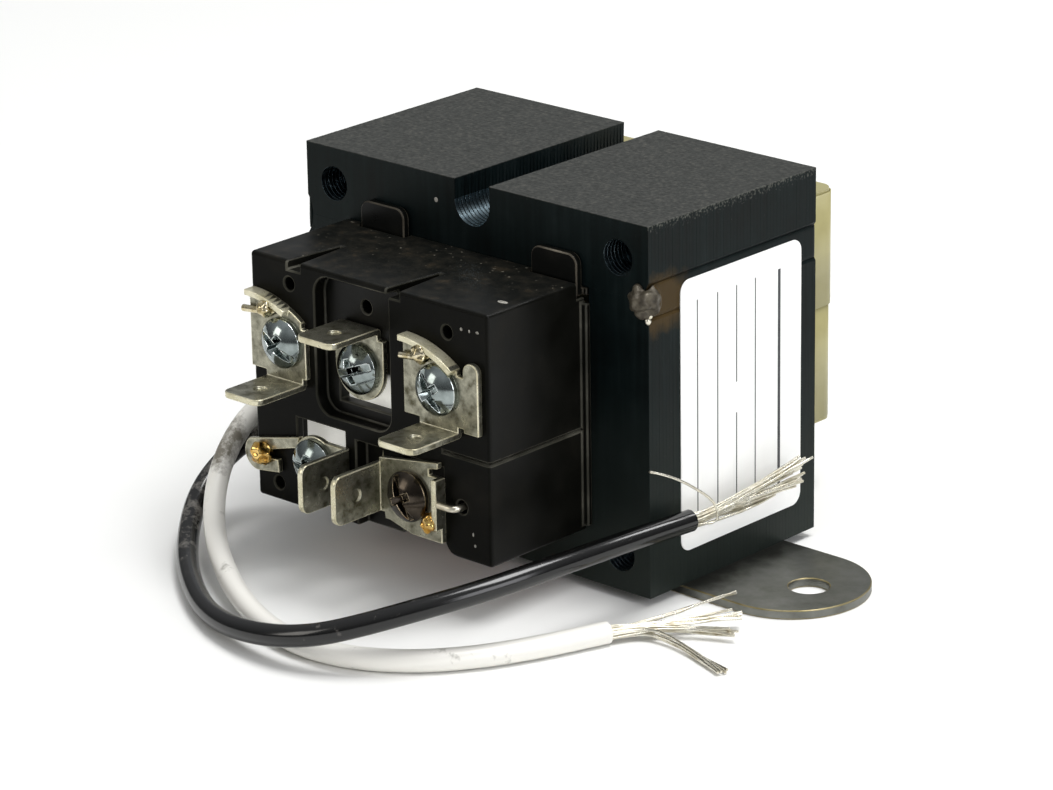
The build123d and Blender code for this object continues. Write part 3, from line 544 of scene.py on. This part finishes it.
# One punched sheet with its burr edge eased, standing at the front of the stack;
# its bores flare where the punch broke through, and their walls are bare steel
def laminationMesh(outlines, bores, thick, ease, flare, frontY, nearBore=0.1, boreWall=0.15, facing=0.9):
    curve = newCurve("sheet", "2D")
    curve.fill_mode = "BOTH"
    curve.extrude = (thick / 2 - ease) * mm
    curve.bevel_depth = ease * mm
    curve.bevel_resolution = 0
    curve.offset = -ease * mm
    for outline in outlines:
        addSpline(curve, "POLY", [(x * mm, z * mm, 0) for x, z in outline]).use_cyclic_u = True
    sheet = settle(newObject("sheet", curve))
    standing = Matrix.Translation((0, (frontY + thick / 2) * mm, 0)) @ Matrix.Rotation(math.pi / 2, 4, "X")
    sheet.data.transform(standing)
    for vertex in sheet.data.vertices:
        deep = (vertex.co.y / mm - frontY) / thick
        for (x, z), radius in bores:
            out = Vector((vertex.co.x - x * mm, 0, vertex.co.z - z * mm))
            if out.length < (radius + nearBore) * mm:
                vertex.co += out.normalized() * flare * deep * mm
    paint(sheet, coreVarnish, boreSteel)
    for face in sheet.data.polygons:
        gaps = [math.hypot(face.center.x - x * mm, face.center.z - z * mm) - radius * mm for (x, z), radius in bores]
        face.material_index = int(min(gaps) < boreWall * mm and abs(face.normal.y) < facing)
    smoothFaces(sheet.data, 30)
    return sheet


# The sheets' sizes in mm; the core's own height, width and depth come from the frame
laminations = {
    "count": 50, "ease": 0.010, "shift": 0.006, "flare": 0.09, "seed": 11, "holeDiameter": 4.5, "holeSteps": 24,
    "seamHeight": 5.0, "seamDepth": 0.8, "seamSteps": 6, "grooveWidth": 5.8, "grooveDepth": 5.6, "grooveSteps": 8,
}
low, high = (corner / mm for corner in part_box("core_e_stack"))
half, base, joint, top = high.x, low.z, high.z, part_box("core_i_stack")[1].z / mm
unit = half / 3
pitch = (high.y - low.y) / laminations["count"]
seamFlat, seamIn, seamSteps = laminations["seamHeight"] / 2, laminations["seamDepth"], laminations["seamSteps"]
seamRadius = (seamFlat ** 2 + seamIn ** 2) / (2 * seamIn)
seamAngle = math.degrees(math.asin(seamFlat / seamRadius))
seamX = half + seamRadius - seamIn
holeRadius, holeSteps = laminations["holeDiameter"] / 2, laminations["holeSteps"]
grooveHalf = laminations["grooveWidth"] / 2
grooveMiddle = top - laminations["grooveDepth"] + grooveHalf
eOutline = [(-half, base), (half, base)] + arcPoints((seamX, joint), seamRadius, 180 + seamAngle, 180, seamSteps)
eOutline += [(2 * unit, joint), (2 * unit, base + unit), (unit, base + unit), (unit, joint)]
eOutline += [(-x, z) for x, z in reversed(eOutline[2:])]
iOutline = arcPoints((seamX, joint), seamRadius, 180, 180 - seamAngle, seamSteps) + [(half, top), (grooveHalf, top)]
iOutline += arcPoints((0, grooveMiddle), grooveHalf, 0, -90, laminations["grooveSteps"])
iOutline += [(-x, z) for x, z in reversed(iOutline[:-1])]
sheets = {
    "laminationStackE": {"node": "core_e_stack", "outline": eOutline, "holeZ": base + unit / 2},
    "laminationStackI": {"node": "core_i_stack", "outline": iOutline, "holeZ": top - unit / 2},
}
stackTree, add, given = startTree("sheetStack", Count="Int", Pitch="Float", Shift="Float", Seed="Int",
                                  Finish="Material")
pitchOut = add("ShaderNodeCombineXYZ", None, {"Y": given["Pitch"]})
row = add("GeometryNodeMeshLine", None, {"Count": given["Count"], "Offset": pitchOut})
stray = add("FunctionNodeRandomValue", {"data_type": "FLOAT_VECTOR", "Min": (-1, 0, -1), "Max": (1, 0, 1)},
            {"Seed": given["Seed"]})
strayOut = add("ShaderNodeVectorMath", {"operation": "SCALE"}, {0: stray, "Scale": given["Shift"]})
moved = add("GeometryNodeSetPosition", None, {"Geometry": row, "Offset": strayOut})
stacked = add("GeometryNodeInstanceOnPoints", None, {"Points": moved, "Instance": given["Geometry"]})
varnished = add("GeometryNodeMaterialSelection", None, {"Material": given["Finish"]})
closeTree(stackTree, stacked, given["Finish"], varnished)
for stackName, sheet in sheets.items():
    bores = [((side * 2.5 * unit, sheet["holeZ"]), holeRadius) for side in (-1, 1)]
    holes = [arcPoints(middle, radius, 0, 360 - 360 / holeSteps, holeSteps - 1) for middle, radius in bores]
    bores.append(((0, grooveMiddle), grooveHalf))
    piece = laminationMesh([sheet["outline"]] + holes, bores, pitch, laminations["ease"], laminations["flare"], low.y)
    piece.name = stackName
    piece = growPiece(piece, stackTree, Count=laminations["count"], Pitch=pitch * mm, Shift=laminations["shift"] * mm,
                      Seed=laminations["seed"], Finish=coreVarnish)
    seat(piece, "core_lacquer", sheet["node"])
print("lamination stacks built:", laminations["count"], "sheets each")

# Moulded, stamped and cut pieces: node, width of the eased edge in mm, finish, the edge's finish, slot
easedPieces = {
    "terminalBlock": ("terminal_block", 0.22, blockPhenolic, wornPhenolic, "block_plastic"),
    "bobbinFrame": ("bobbin", 0.18, bobbinNylon, wornNylon, "bobbin_plastic"),
    "footStrip": ("mounting_foot", 0.16, footSteel, footEdge, "foot_steel"),
}
# Terminals, in mm: a tab's rim and a plate's lip are in the bright finish, a painted highlight, and lipSides says where
# a lip is
terminals = {
    "ease": 0.13, "plateThick": 0.8, "rimAhead": 0.4, "rimFacing": -0.6, "lipAhead": 0.1,
    "lipSides": {"terminal_top_left": "z", "terminal_top_right": "z", "terminal_bottom_right": "x"},
}
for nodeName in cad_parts:
    if nodeName.startswith("terminal_") and nodeName != "terminal_block":
        words = nodeName.split("_")
        pieceName = words[0] + words[1].title() + words[2].title()
        easedPieces[pieceName] = (nodeName, terminals["ease"], tinnedBrass, brassEdge, "terminal_brass")
for pieceName, (nodeName, ease, finish, edgeFinish, slotName) in easedPieces.items():
    piece = seat(easedPiece(nodeName, pieceName, ease, finish, edgeFinish), slotName, nodeName)
    if slotName != "terminal_brass":
        continue
    lowest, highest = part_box(nodeName)
    middle = (lowest + highest) / 2
    plateFront = highest.y - terminals["plateThick"] * mm
    side = terminals["lipSides"].get(nodeName)
    for face in piece.data.polygons:
        isRim = face.normal.y < terminals["rimFacing"] and face.center.y < plateFront - terminals["rimAhead"] * mm
        isAhead = face.center.y < plateFront - terminals["lipAhead"] * mm
        if isRim or (side and isAhead and getattr(face.center, side) > getattr(middle, side)):
            face.material_index = 1
print("block, bobbin, foot and terminals eased")

# Weld and solder as lumps: node, voxel, size and push of the noise in mm, finish, slot,
# and for the weld's blob where it is calm, the finish there, its heart and how far it is drawn in
lumps = {
    "weldLeft": ("seam_weld_left", 0.22, 2.2, 0.05, coreVarnish, "weld_bead"),
    "weldRight": ("seam_weld_right", 0.20, 1.5, 1.15, weldBead, "weld_bead",
                  -14.6, coreVarnish, (27.9, -15.7, 39.4), 0.80),
    "solderTopLeft": ("solder_top_left", 0.10, 0.8, 0.40, solderTin, "solder_tin"),
    "solderTopRight": ("solder_top_right", 0.10, 0.7, 0.40, solderTin, "solder_tin"),
    "solderBottomLeft": ("solder_bottom_left", 0.10, 0.9, 0.40, fluxedSolder, "solder_flux"),
    "solderBottomRight": ("solder_bottom_right", 0.10, 0.7, 0.40, fluxedSolder, "solder_tin"),
}
for pieceName, (nodeName, voxel, lump, push, finish, slotName, *calm) in lumps.items():
    seat(lumpyPiece(nodeName, pieceName, voxel, lump, push, finish, *calm), slotName, nodeName)
print("weld and solder lumps built")

# Bright drip under the weld and pale chips on the core and block: centre and half sizes of each, in mm
beads = {
    "weldDrip": {"finish": strandTin, "slot": "weld_bead", "at": [
        ((28.5, -15.9, 37.0), (0.40, 0.40, 0.50)), ((28.6, -15.6, 37.7), (0.30, 0.35, 0.50)),
    ]},
    "coreChip": {"finish": chippedResin, "slot": "core_lacquer", "at": [((-6.1, -15.875, 45.4), (0.30, 0.03, 0.32))]},
    "blockChips": {"finish": chippedResin, "slot": "block_plastic", "at": [
        ((16.3, -28.2, 40.0), (0.75, 0.40, 0.03)), ((14.1, -33.18, 37.4), (0.20, 0.03, 0.22)),
        ((15.4, -33.18, 37.4), (0.14, 0.03, 0.22)), ((16.7, -33.18, 37.5), (0.26, 0.03, 0.18)),
        ((15.4, -33.18, 11.5), (0.12, 0.03, 0.26)), ((15.7, -33.18, 10.1), (0.16, 0.03, 0.20)),
    ]},
}
for beadName, bead in beads.items():
    work = bmesh.new()
    for centre, halves in bead["at"]:
        shape = Matrix.Translation(Vector(centre) * mm) @ Matrix.Diagonal((*(Vector(halves) * mm), 1))
        bmesh.ops.create_icosphere(work, subdivisions=3, radius=1, matrix=shape)
    mesh = meshFrom(work, beadName)
    smoothFaces(mesh, 70)
    seat(paint(newObject(beadName, mesh), bead["finish"]), bead["slot"])
print("drip and chips placed")


# Turned shape about the Y axis, from a profile of radius and depth
def turnedMesh(name, profile, steps=48):
    work = bmesh.new()
    angles = [2 * math.pi * k / steps for k in range(steps)]
    rings = []
    for radius, depth in profile:
        if radius == 0:
            rings.append([work.verts.new((0, depth * mm, 0))] * steps)
            continue
        spots = [(radius * math.cos(a) * mm, depth * mm, radius * math.sin(a) * mm) for a in angles]
        rings.append([work.verts.new(spot) for spot in spots])
    for ring, after in zip(rings, rings[1:]):
        for k in range(steps):
            corners = dict.fromkeys([ring[k], ring[k - 1], after[k - 1], after[k]])
            work.faces.new(list(corners))
    bmesh.ops.recalc_face_normals(work, faces=work.faces)
    return meshFrom(work, name)


# Wedge that cuts one arm of a drive: each length and width is at the top, then at the floor
def driveCutter(name, lengths, widths, deep, above=1.0):
    work = bmesh.new()
    corners = []
    for depth, length, width in zip((-above, deep), lengths, widths):
        for sx, sz in ((-1, -1), (1, -1), (1, 1), (-1, 1)):
            corners.append(work.verts.new((sx * length / 2 * mm, depth * mm, sz * width / 2 * mm)))
    for face in ((0, 1, 2, 3), (4, 5, 6, 7), (0, 1, 5, 4), (1, 2, 6, 5), (2, 3, 7, 6), (3, 0, 4, 7)):
        work.faces.new([corners[k] for k in face])
    bmesh.ops.recalc_face_normals(work, faces=work.faces)
    return newObject(name, meshFrom(work, name))


screwSizes = {
    "head": 6.5, "rim": 0.6, "dome": 1.5, "domeSteps": 8, "shank": 3.5, "under": 2.4, "ease": 0.07,
    "slotWide": (1.15, 0.95), "slotDeep": 1.15, "crossLong": (4.2, 2.0), "crossWide": (1.25, 0.6), "crossDeep": 1.75,
    "turns": {"top_left": 35, "top_centre": -20, "top_right": 55, "bottom_left": 10, "bottom_right": 65},
}


# Round head with a slot right across and a deeper cross at its middle, its top at the origin
def screwShape(sizes, finish, edgeFinish):
    head, shank, steps = sizes["head"] / 2, sizes["shank"] / 2, sizes["domeSteps"]
    domeRadius = (sizes["head"] ** 2 / 4 + sizes["dome"] ** 2) / (2 * sizes["dome"])
    domeAngle = math.asin(head / domeRadius)
    angles = [domeAngle * k / steps for k in range(steps + 1)]
    profile = [(domeRadius * math.sin(a), domeRadius * (1 - math.cos(a))) for a in angles]
    under = sizes["dome"] + sizes["rim"]
    end = under + sizes["under"]
    profile += [(head, under), (shank, under), (shank, end), (0, end)]
    screw = paint(newObject("screwShape", turnedMesh("screwShape", profile)), finish, edgeFinish)
    cutters = [
        driveCutter("slot", (sizes["head"] + 1,) * 2, sizes["slotWide"], sizes["slotDeep"]),
        driveCutter("crossAlong", sizes["crossLong"], sizes["crossWide"], sizes["crossDeep"]),
        driveCutter("crossOver", sizes["crossWide"], sizes["crossLong"], sizes["crossDeep"]),
    ]
    for cutter in cutters:
        cut = screw.modifiers.new(cutter.name, "BOOLEAN")
        cut.operation = "DIFFERENCE"
        cut.solver = "EXACT"
        cut.object = cutter
    easeEdges(screw, sizes["ease"], 35)
    screw = settle(screw)
    for cutter in cutters:
        bpy.data.objects.remove(cutter)
    smoothFaces(screw.data, 35)
    return screw


screwTree, add, given = startTree("screwSet", Shape="Object", EdgeFinish="Material")
turn = add("GeometryNodeInputNamedAttribute", {"Name": "turn"})
turnOut = add("ShaderNodeCombineXYZ", None, {"Y": turn})
shape = add("GeometryNodeObjectInfo", None, {"Object": given["Shape"]})
placed = add("GeometryNodeInstanceOnPoints", None,
             {"Points": given["Geometry"], "Instance": shape.outputs["Geometry"], "Rotation": turnOut})
onEdge = add("GeometryNodeMaterialSelection", None, {"Material": given["EdgeFinish"]})
closeTree(screwTree, placed, given["EdgeFinish"], onEdge)
screwSets = {
    "zincScrews": {"places": ["top_left", "top_centre", "top_right", "bottom_left"],
                   "finishes": (zincPlate, zincEdge), "slot": "screw_zinc"},
    "bronzeScrew": {"places": ["bottom_right"], "finishes": (bronzePlate, bronzeEdge), "slot": "screw_bronze"},
}
for setName, screws in screwSets.items():
    nodeNames = ["screw_" + place for place in screws["places"]]
    boxes = [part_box(nodeName) for nodeName in nodeNames]
    points = bpy.data.meshes.new(setName)
    points.from_pydata([((a.x + b.x) / 2, a.y, (a.z + b.z) / 2) for a, b in boxes], [], [])
    turns = points.attributes.new("turn", "FLOAT", "POINT")
    turns.data.foreach_set("value", [math.radians(screwSizes["turns"][place]) for place in screws["places"]])
    screw = screwShape(screwSizes, *screws["finishes"])
    piece = growPiece(newObject(setName, points), screwTree, Shape=screw, EdgeFinish=screws["finishes"][1])
    bpy.data.objects.remove(screw)
    seat(piece, screws["slot"], *nodeNames)
print("screws set")

# Leads: the same route points as the solid tubes, in mm
whiteRoute = [
    (-16.8, -20.5, 19.8), (-20.5, -20.6, 19.7), (-24.5, -21.7, 18.9), (-27.5, -23.6, 17.3),
    (-29.4, -26.1, 15.1), (-30.0, -28.9, 12.5), (-29.1, -32.6, 9.3), (-26.0, -37.0, 6.2),
    (-21.0, -41.5, 3.8), (-14.5, -45.9, 2.4), (-7.8, -49.7, 1.8), (-0.9, -52.6, 1.5),
    (5.5, -54.1, 1.45), (11.2, -53.8, 1.45), (16.2, -52.0, 1.45), (20.9, -48.6, 1.45),
    (24.6, -44.1, 1.45), (27.5, -39.0, 1.45), (29.9, -33.3, 1.45), (31.9, -27.6, 1.45),
]
blackRoute = [
    (-16.8, -18.3, 15.0), (-20.5, -18.4, 14.9), (-25.5, -19.7, 14.1), (-29.7, -22.6, 12.3),
    (-32.1, -27.0, 9.7), (-32.2, -31.7, 7.1), (-30.7, -35.7, 5.0), (-27.5, -40.1, 3.0),
    (-22.8, -44.9, 1.7), (-17.0, -49.5, 1.45), (-10.9, -53.5, 1.5), (-4.7, -56.3, 2.0),
    (1.4, -57.6, 2.8), (7.2, -57.7, 3.8), (12.5, -56.3, 5.1), (17.2, -53.3, 6.8),
    (21.5, -48.9, 8.4), (26.0, -41.8, 9.9), (29.0, -32.8, 11.0), (30.5, -22.6, 11.2),
    (30.8, -11.0, 10.6),
]
leads = {
    "whiteLead": {"route": whiteRoute, "node": "white_lead", "slot": "white_insulation",
                  "finish": whiteVinyl, "length": 107.9},
    "blackLead": {"route": blackRoute, "node": "black_lead", "slot": "black_insulation",
                  "finish": blackVinyl, "length": 133.7},
}
leadDiameter = 2.8
for leadName, lead in leads.items():
    curve = newCurve(leadName)
    spline = addSpline(curve, "NURBS", [Vector(place) * mm for place in lead["route"]], 3)
    spline.resolution_u = 10
    curve.bevel_depth = leadDiameter / 2 * mm
    curve.bevel_resolution = 6
    curve.use_fill_caps = True
    piece = paint(newObject(leadName, curve), lead["finish"])
    lead["piece"] = seat(piece, lead["slot"], lead["node"])

# Bare strands: fine wires that leave the cut end in one twisted bundle and part into tufts, in mm and radians;
# by and end are where a tuft goes, spread and short how far its tips stray and fall back
strandSizes = {
    "diameter": 0.34, "packing": 0.95, "nextAngle": 2.4, "inside": 1.2, "straight": 1.8, "twist": 1.4, "drawIn": 0.5,
    "scatter": 0.6, "wave": 0.3, "waveLength": 5.0, "points": 20, "sides": 8, "seed": 5,
}
bundles = {
    "whiteStrands": {"node": "white_lead_strands", "route": whiteRoute, "tufts": [
        {"count": 3, "by": [(34.7, -21.1, 2.0)], "end": (37.2, -8.8, 2.6), "spread": 0.22, "short": 1.0},
        {"count": 9, "by": [(36.5, -19.5, 1.6)], "end": (41.2, -13.4, 1.8), "spread": 0.60, "short": 1.8},
        {"count": 9, "by": [(36.2, -20.2, 1.3)], "end": (43.2, -17.2, 1.2), "spread": 0.50, "short": 1.4},
        {"count": 5, "by": [(34.6, -22.8, 1.1), (40.2, -23.5, 0.8)],
         "end": (49.0, -25.2, 0.5), "spread": 0.10, "short": 2.2},
    ]},
    "blackStrands": {"node": "black_lead_strands", "route": blackRoute, "tufts": [
        {"count": 12, "by": [(31.3, -3.0, 10.9)], "end": (31.9, 10.2, 13.0), "spread": 0.75, "short": 2.4},
        {"count": 10, "by": [(31.5, -3.4, 10.3)], "end": (32.3, 9.6, 11.0), "spread": 0.75, "short": 3.0},
        {"count": 4, "by": [(31.6, -2.6, 9.2)], "end": (31.9, 4.9, 10.0), "spread": 0.30, "short": 1.0},
        {"count": 1, "by": [(32.4, -7.2, 9.2), (33.0, -8.4, 12.1), (32.6, -9.8, 14.2), (31.4, -14.3, 17.3)],
         "end": (30.2, -17.7, 18.7), "spread": 0.0, "short": 0.0},
    ]},
}
strandTree, add, given = startTree("strandBundle", Radius="Float", Sides="Int", Wave="Float", WaveLength="Float",
                                   Points="Int", Finish="Material")
spaced = add("GeometryNodeResampleCurve", None, {"Curve": given["Geometry"], "Count": given["Points"]})
waves = add("ShaderNodeMath", {"operation": "DIVIDE", 0: 1.0}, {1: given["WaveLength"]})
passed = add("ShaderNodeMath", {"operation": "DIVIDE"}, {0: add("GeometryNodeInputIndex"), 1: given["Points"]})
strandNumber = add("ShaderNodeMath", {"operation": "FLOOR"}, {0: passed})
swirl = add("ShaderNodeTexNoise", {"noise_dimensions": "4D", "Detail": 1.0},
            {"Vector": add("GeometryNodeInputPosition"), "Scale": waves, "W": strandNumber})
centred = add("ShaderNodeVectorMath", {"operation": "SUBTRACT", 1: (0.5, 0.5, 0.5)}, {0: swirl.outputs["Color"]})
run = add("GeometryNodeSplineParameter").outputs["Factor"]
growth = add("ShaderNodeMath", {"operation": "MULTIPLY"}, {0: run, 1: given["Wave"]})
offset = add("ShaderNodeVectorMath", {"operation": "SCALE"}, {0: centred, "Scale": growth})
waved = add("GeometryNodeSetPosition", None, {"Geometry": spaced, "Offset": offset})
ring = add("GeometryNodeCurvePrimitiveCircle", None, {"Resolution": given["Sides"], "Radius": given["Radius"]})
wire = add("GeometryNodeCurveToMesh", {"Fill Caps": True}, {"Curve": waved, "Profile Curve": ring})
closeTree(strandTree, wire, given["Finish"])
pick = random.Random(strandSizes["seed"])
for bundleName, bundle in bundles.items():
    tip, before = (Vector(place) for place in reversed(bundle["route"][-2:]))
    along = (tip - before).normalized()
    across = along.cross(Vector((0, 0, 1))).normalized()
    over = across.cross(along)
    total = sum(tuft["count"] for tuft in bundle["tufts"])
    curve = newCurve(bundleName)
    for k, tuft in enumerate(tuft for tuft in bundle["tufts"] for strand in range(tuft["count"])):
        angle, out = k * strandSizes["nextAngle"], strandSizes["packing"] * math.sqrt((k + 0.5) / total)
        ringed = [out * (math.cos(a) * across + math.sin(a) * over) for a in (angle, angle + strandSizes["twist"])]
        strayAcross, strayOver = (pick.gauss(0, strandSizes["scatter"]) for side in range(2))
        loose = tuft["spread"] * (strayAcross * across + strayOver * over) - pick.uniform(0, tuft["short"]) * along
        drawn = ringed[1] * strandSizes["drawIn"] if tuft["spread"] else Vector()
        path = [tip + ringed[0] - along * strandSizes["inside"], tip + ringed[0] + along * strandSizes["straight"]]
        path += [Vector(spot) + drawn for spot in tuft["by"]] + [Vector(tuft["end"]) + loose]
        addSpline(curve, "NURBS", [spot * mm for spot in path], 4)
    piece = growPiece(newObject(bundleName, curve), strandTree, Radius=strandSizes["diameter"] / 2 * mm,
                      Sides=strandSizes["sides"], Wave=strandSizes["wave"] * 2 * mm,
                      WaveLength=strandSizes["waveLength"] * mm, Points=strandSizes["points"], Finish=strandTin)
    smoothFaces(piece.data, 60)
    bundle["piece"] = seat(piece, "bare_strands", bundle["node"])
for leadName, bundleName in (("whiteLead", "whiteStrands"), ("blackLead", "blackStrands")):
    lead = leads[leadName]
print("leads and strands laid")

# Tape turns over the coil's back, each a strip along one path round it: low and high Z and how proud it lies, in mm
tape = {
    "thick": 0.14, "corner": 2.2, "cornerSteps": 6, "start": 1.7, "freeEnd": -9.5,
    "turns": [(9.9, 27.5, 0.05), (25.2, 40.3, 0.2)],
}
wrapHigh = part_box("coil_wrap")[1] / mm
tapeTree, add, given = startTree("tapeTurn", Thick="Float", Wide="Float", Finish="Material")
section = add("GeometryNodeCurvePrimitiveQuadrilateral", None, {"Width": given["Thick"], "Height": given["Wide"]})
strip = add("GeometryNodeCurveToMesh", {"Fill Caps": True}, {"Curve": given["Geometry"], "Profile Curve": section})
closeTree(tapeTree, strip, given["Finish"])
for k, (lowZ, highZ, proud) in enumerate(tape["turns"]):
    sideX = wrapHigh.x + proud
    backY = wrapHigh.y + proud
    corner = tape["corner"]
    rightSide = [(sideX, high.y + tape["start"]), (sideX, backY - corner)]
    rightSide += arcPoints((sideX - corner, backY - corner), corner, 0, 90, tape["cornerSteps"])[1:]
    leftSide = [(-x, y) for x, y in reversed(rightSide)]
    path = rightSide + (leftSide if k == 0 else [(tape["freeEnd"], backY)])  # the outer turn ends on the back
    curve = newCurve(f"tapeTurn{k}")
    addSpline(curve, "POLY", [(x * mm, y * mm, (lowZ + highZ) / 2 * mm) for x, y in path])
    piece = growPiece(newObject(f"tapeTurn{k}", curve), tapeTree, Thick=tape["thick"] * mm,
                      Wide=(highZ - lowZ) * mm, Finish=creamTape)
    seat(piece, "wrap_tape")
print("tape turns laid")

# Label as it is stuck in the photograph, a little higher and smaller than the solid: Y and Z of two corners, in mm
label = {"low": (-10.1, 5.5), "high": (12.9, 40.5), "corner": 1.6, "cornerSteps": 8}
backX, faceX = (corner.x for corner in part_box("side_label"))
inset = label["corner"]
lowY, lowZ = (value + inset for value in label["low"])
highY, highZ = (value - inset for value in label["high"])
rimPoints = []
for middle, start in (((highY, lowZ), 270), ((highY, highZ), 0), ((lowY, highZ), 90), ((lowY, lowZ), 180)):
    rimPoints += arcPoints(middle, inset, start, start + 90, label["cornerSteps"])
count = len(rimPoints)
labelMesh = bpy.data.meshes.new("sideLabel")
labelMesh.from_pydata([(x, y * mm, z * mm) for x in (faceX, backX) for y, z in rimPoints], [],
                      [tuple(range(count)), tuple(reversed(range(count, 2 * count)))]
                      + [(k, k + count, (k + 1) % count + count, (k + 1) % count) for k in range(count)])
seat(paint(newObject("sideLabel", labelMesh), labelStock), "label_paper", "side_label")

# Plain printed rules on it: height range, place along the side and width, in mm
rules = {"proud": 0.015, "lines": [
    (8.5, 37.5, -7.0, 0.18), (8.5, 37.5, -3.2, 0.18), (8.5, 21, 0.4, 0.18), (25, 37.5, 0.4, 0.18),
    (8.5, 37.5, 4.0, 0.18), (8.5, 37.5, 8.6, 0.5),
]}
work = bmesh.new()
for lowZ, highZ, y, wide in rules["lines"]:
    middle = Matrix.Translation((faceX, y * mm, (lowZ + highZ) / 2 * mm))
    bmesh.ops.create_cube(work, size=mm, matrix=middle @ Matrix.Diagonal((2 * rules["proud"], wide, highZ - lowZ, 1)))
seat(paint(newObject("labelRules", meshFrom(work, "labelRules")), labelInk), "label_paper")
print("label and its rules made")

# Solids whose shape is right, each with its own finish
finishes = {
    "primary_winding": windingEnamel, "secondary_winding": windingEnamel, "insulation_sleeve": sleevePaper,
    "coil_wrap": creamTape, "barrier_sheet": barrierPaper,
    "coil_end_top_left": solderTin, "coil_end_top_right": solderTin, "coil_end_bottom_right": strandTin,
}
for nodeName, finish in finishes.items():
    paint(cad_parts[nodeName], finish)
print("finishes set")
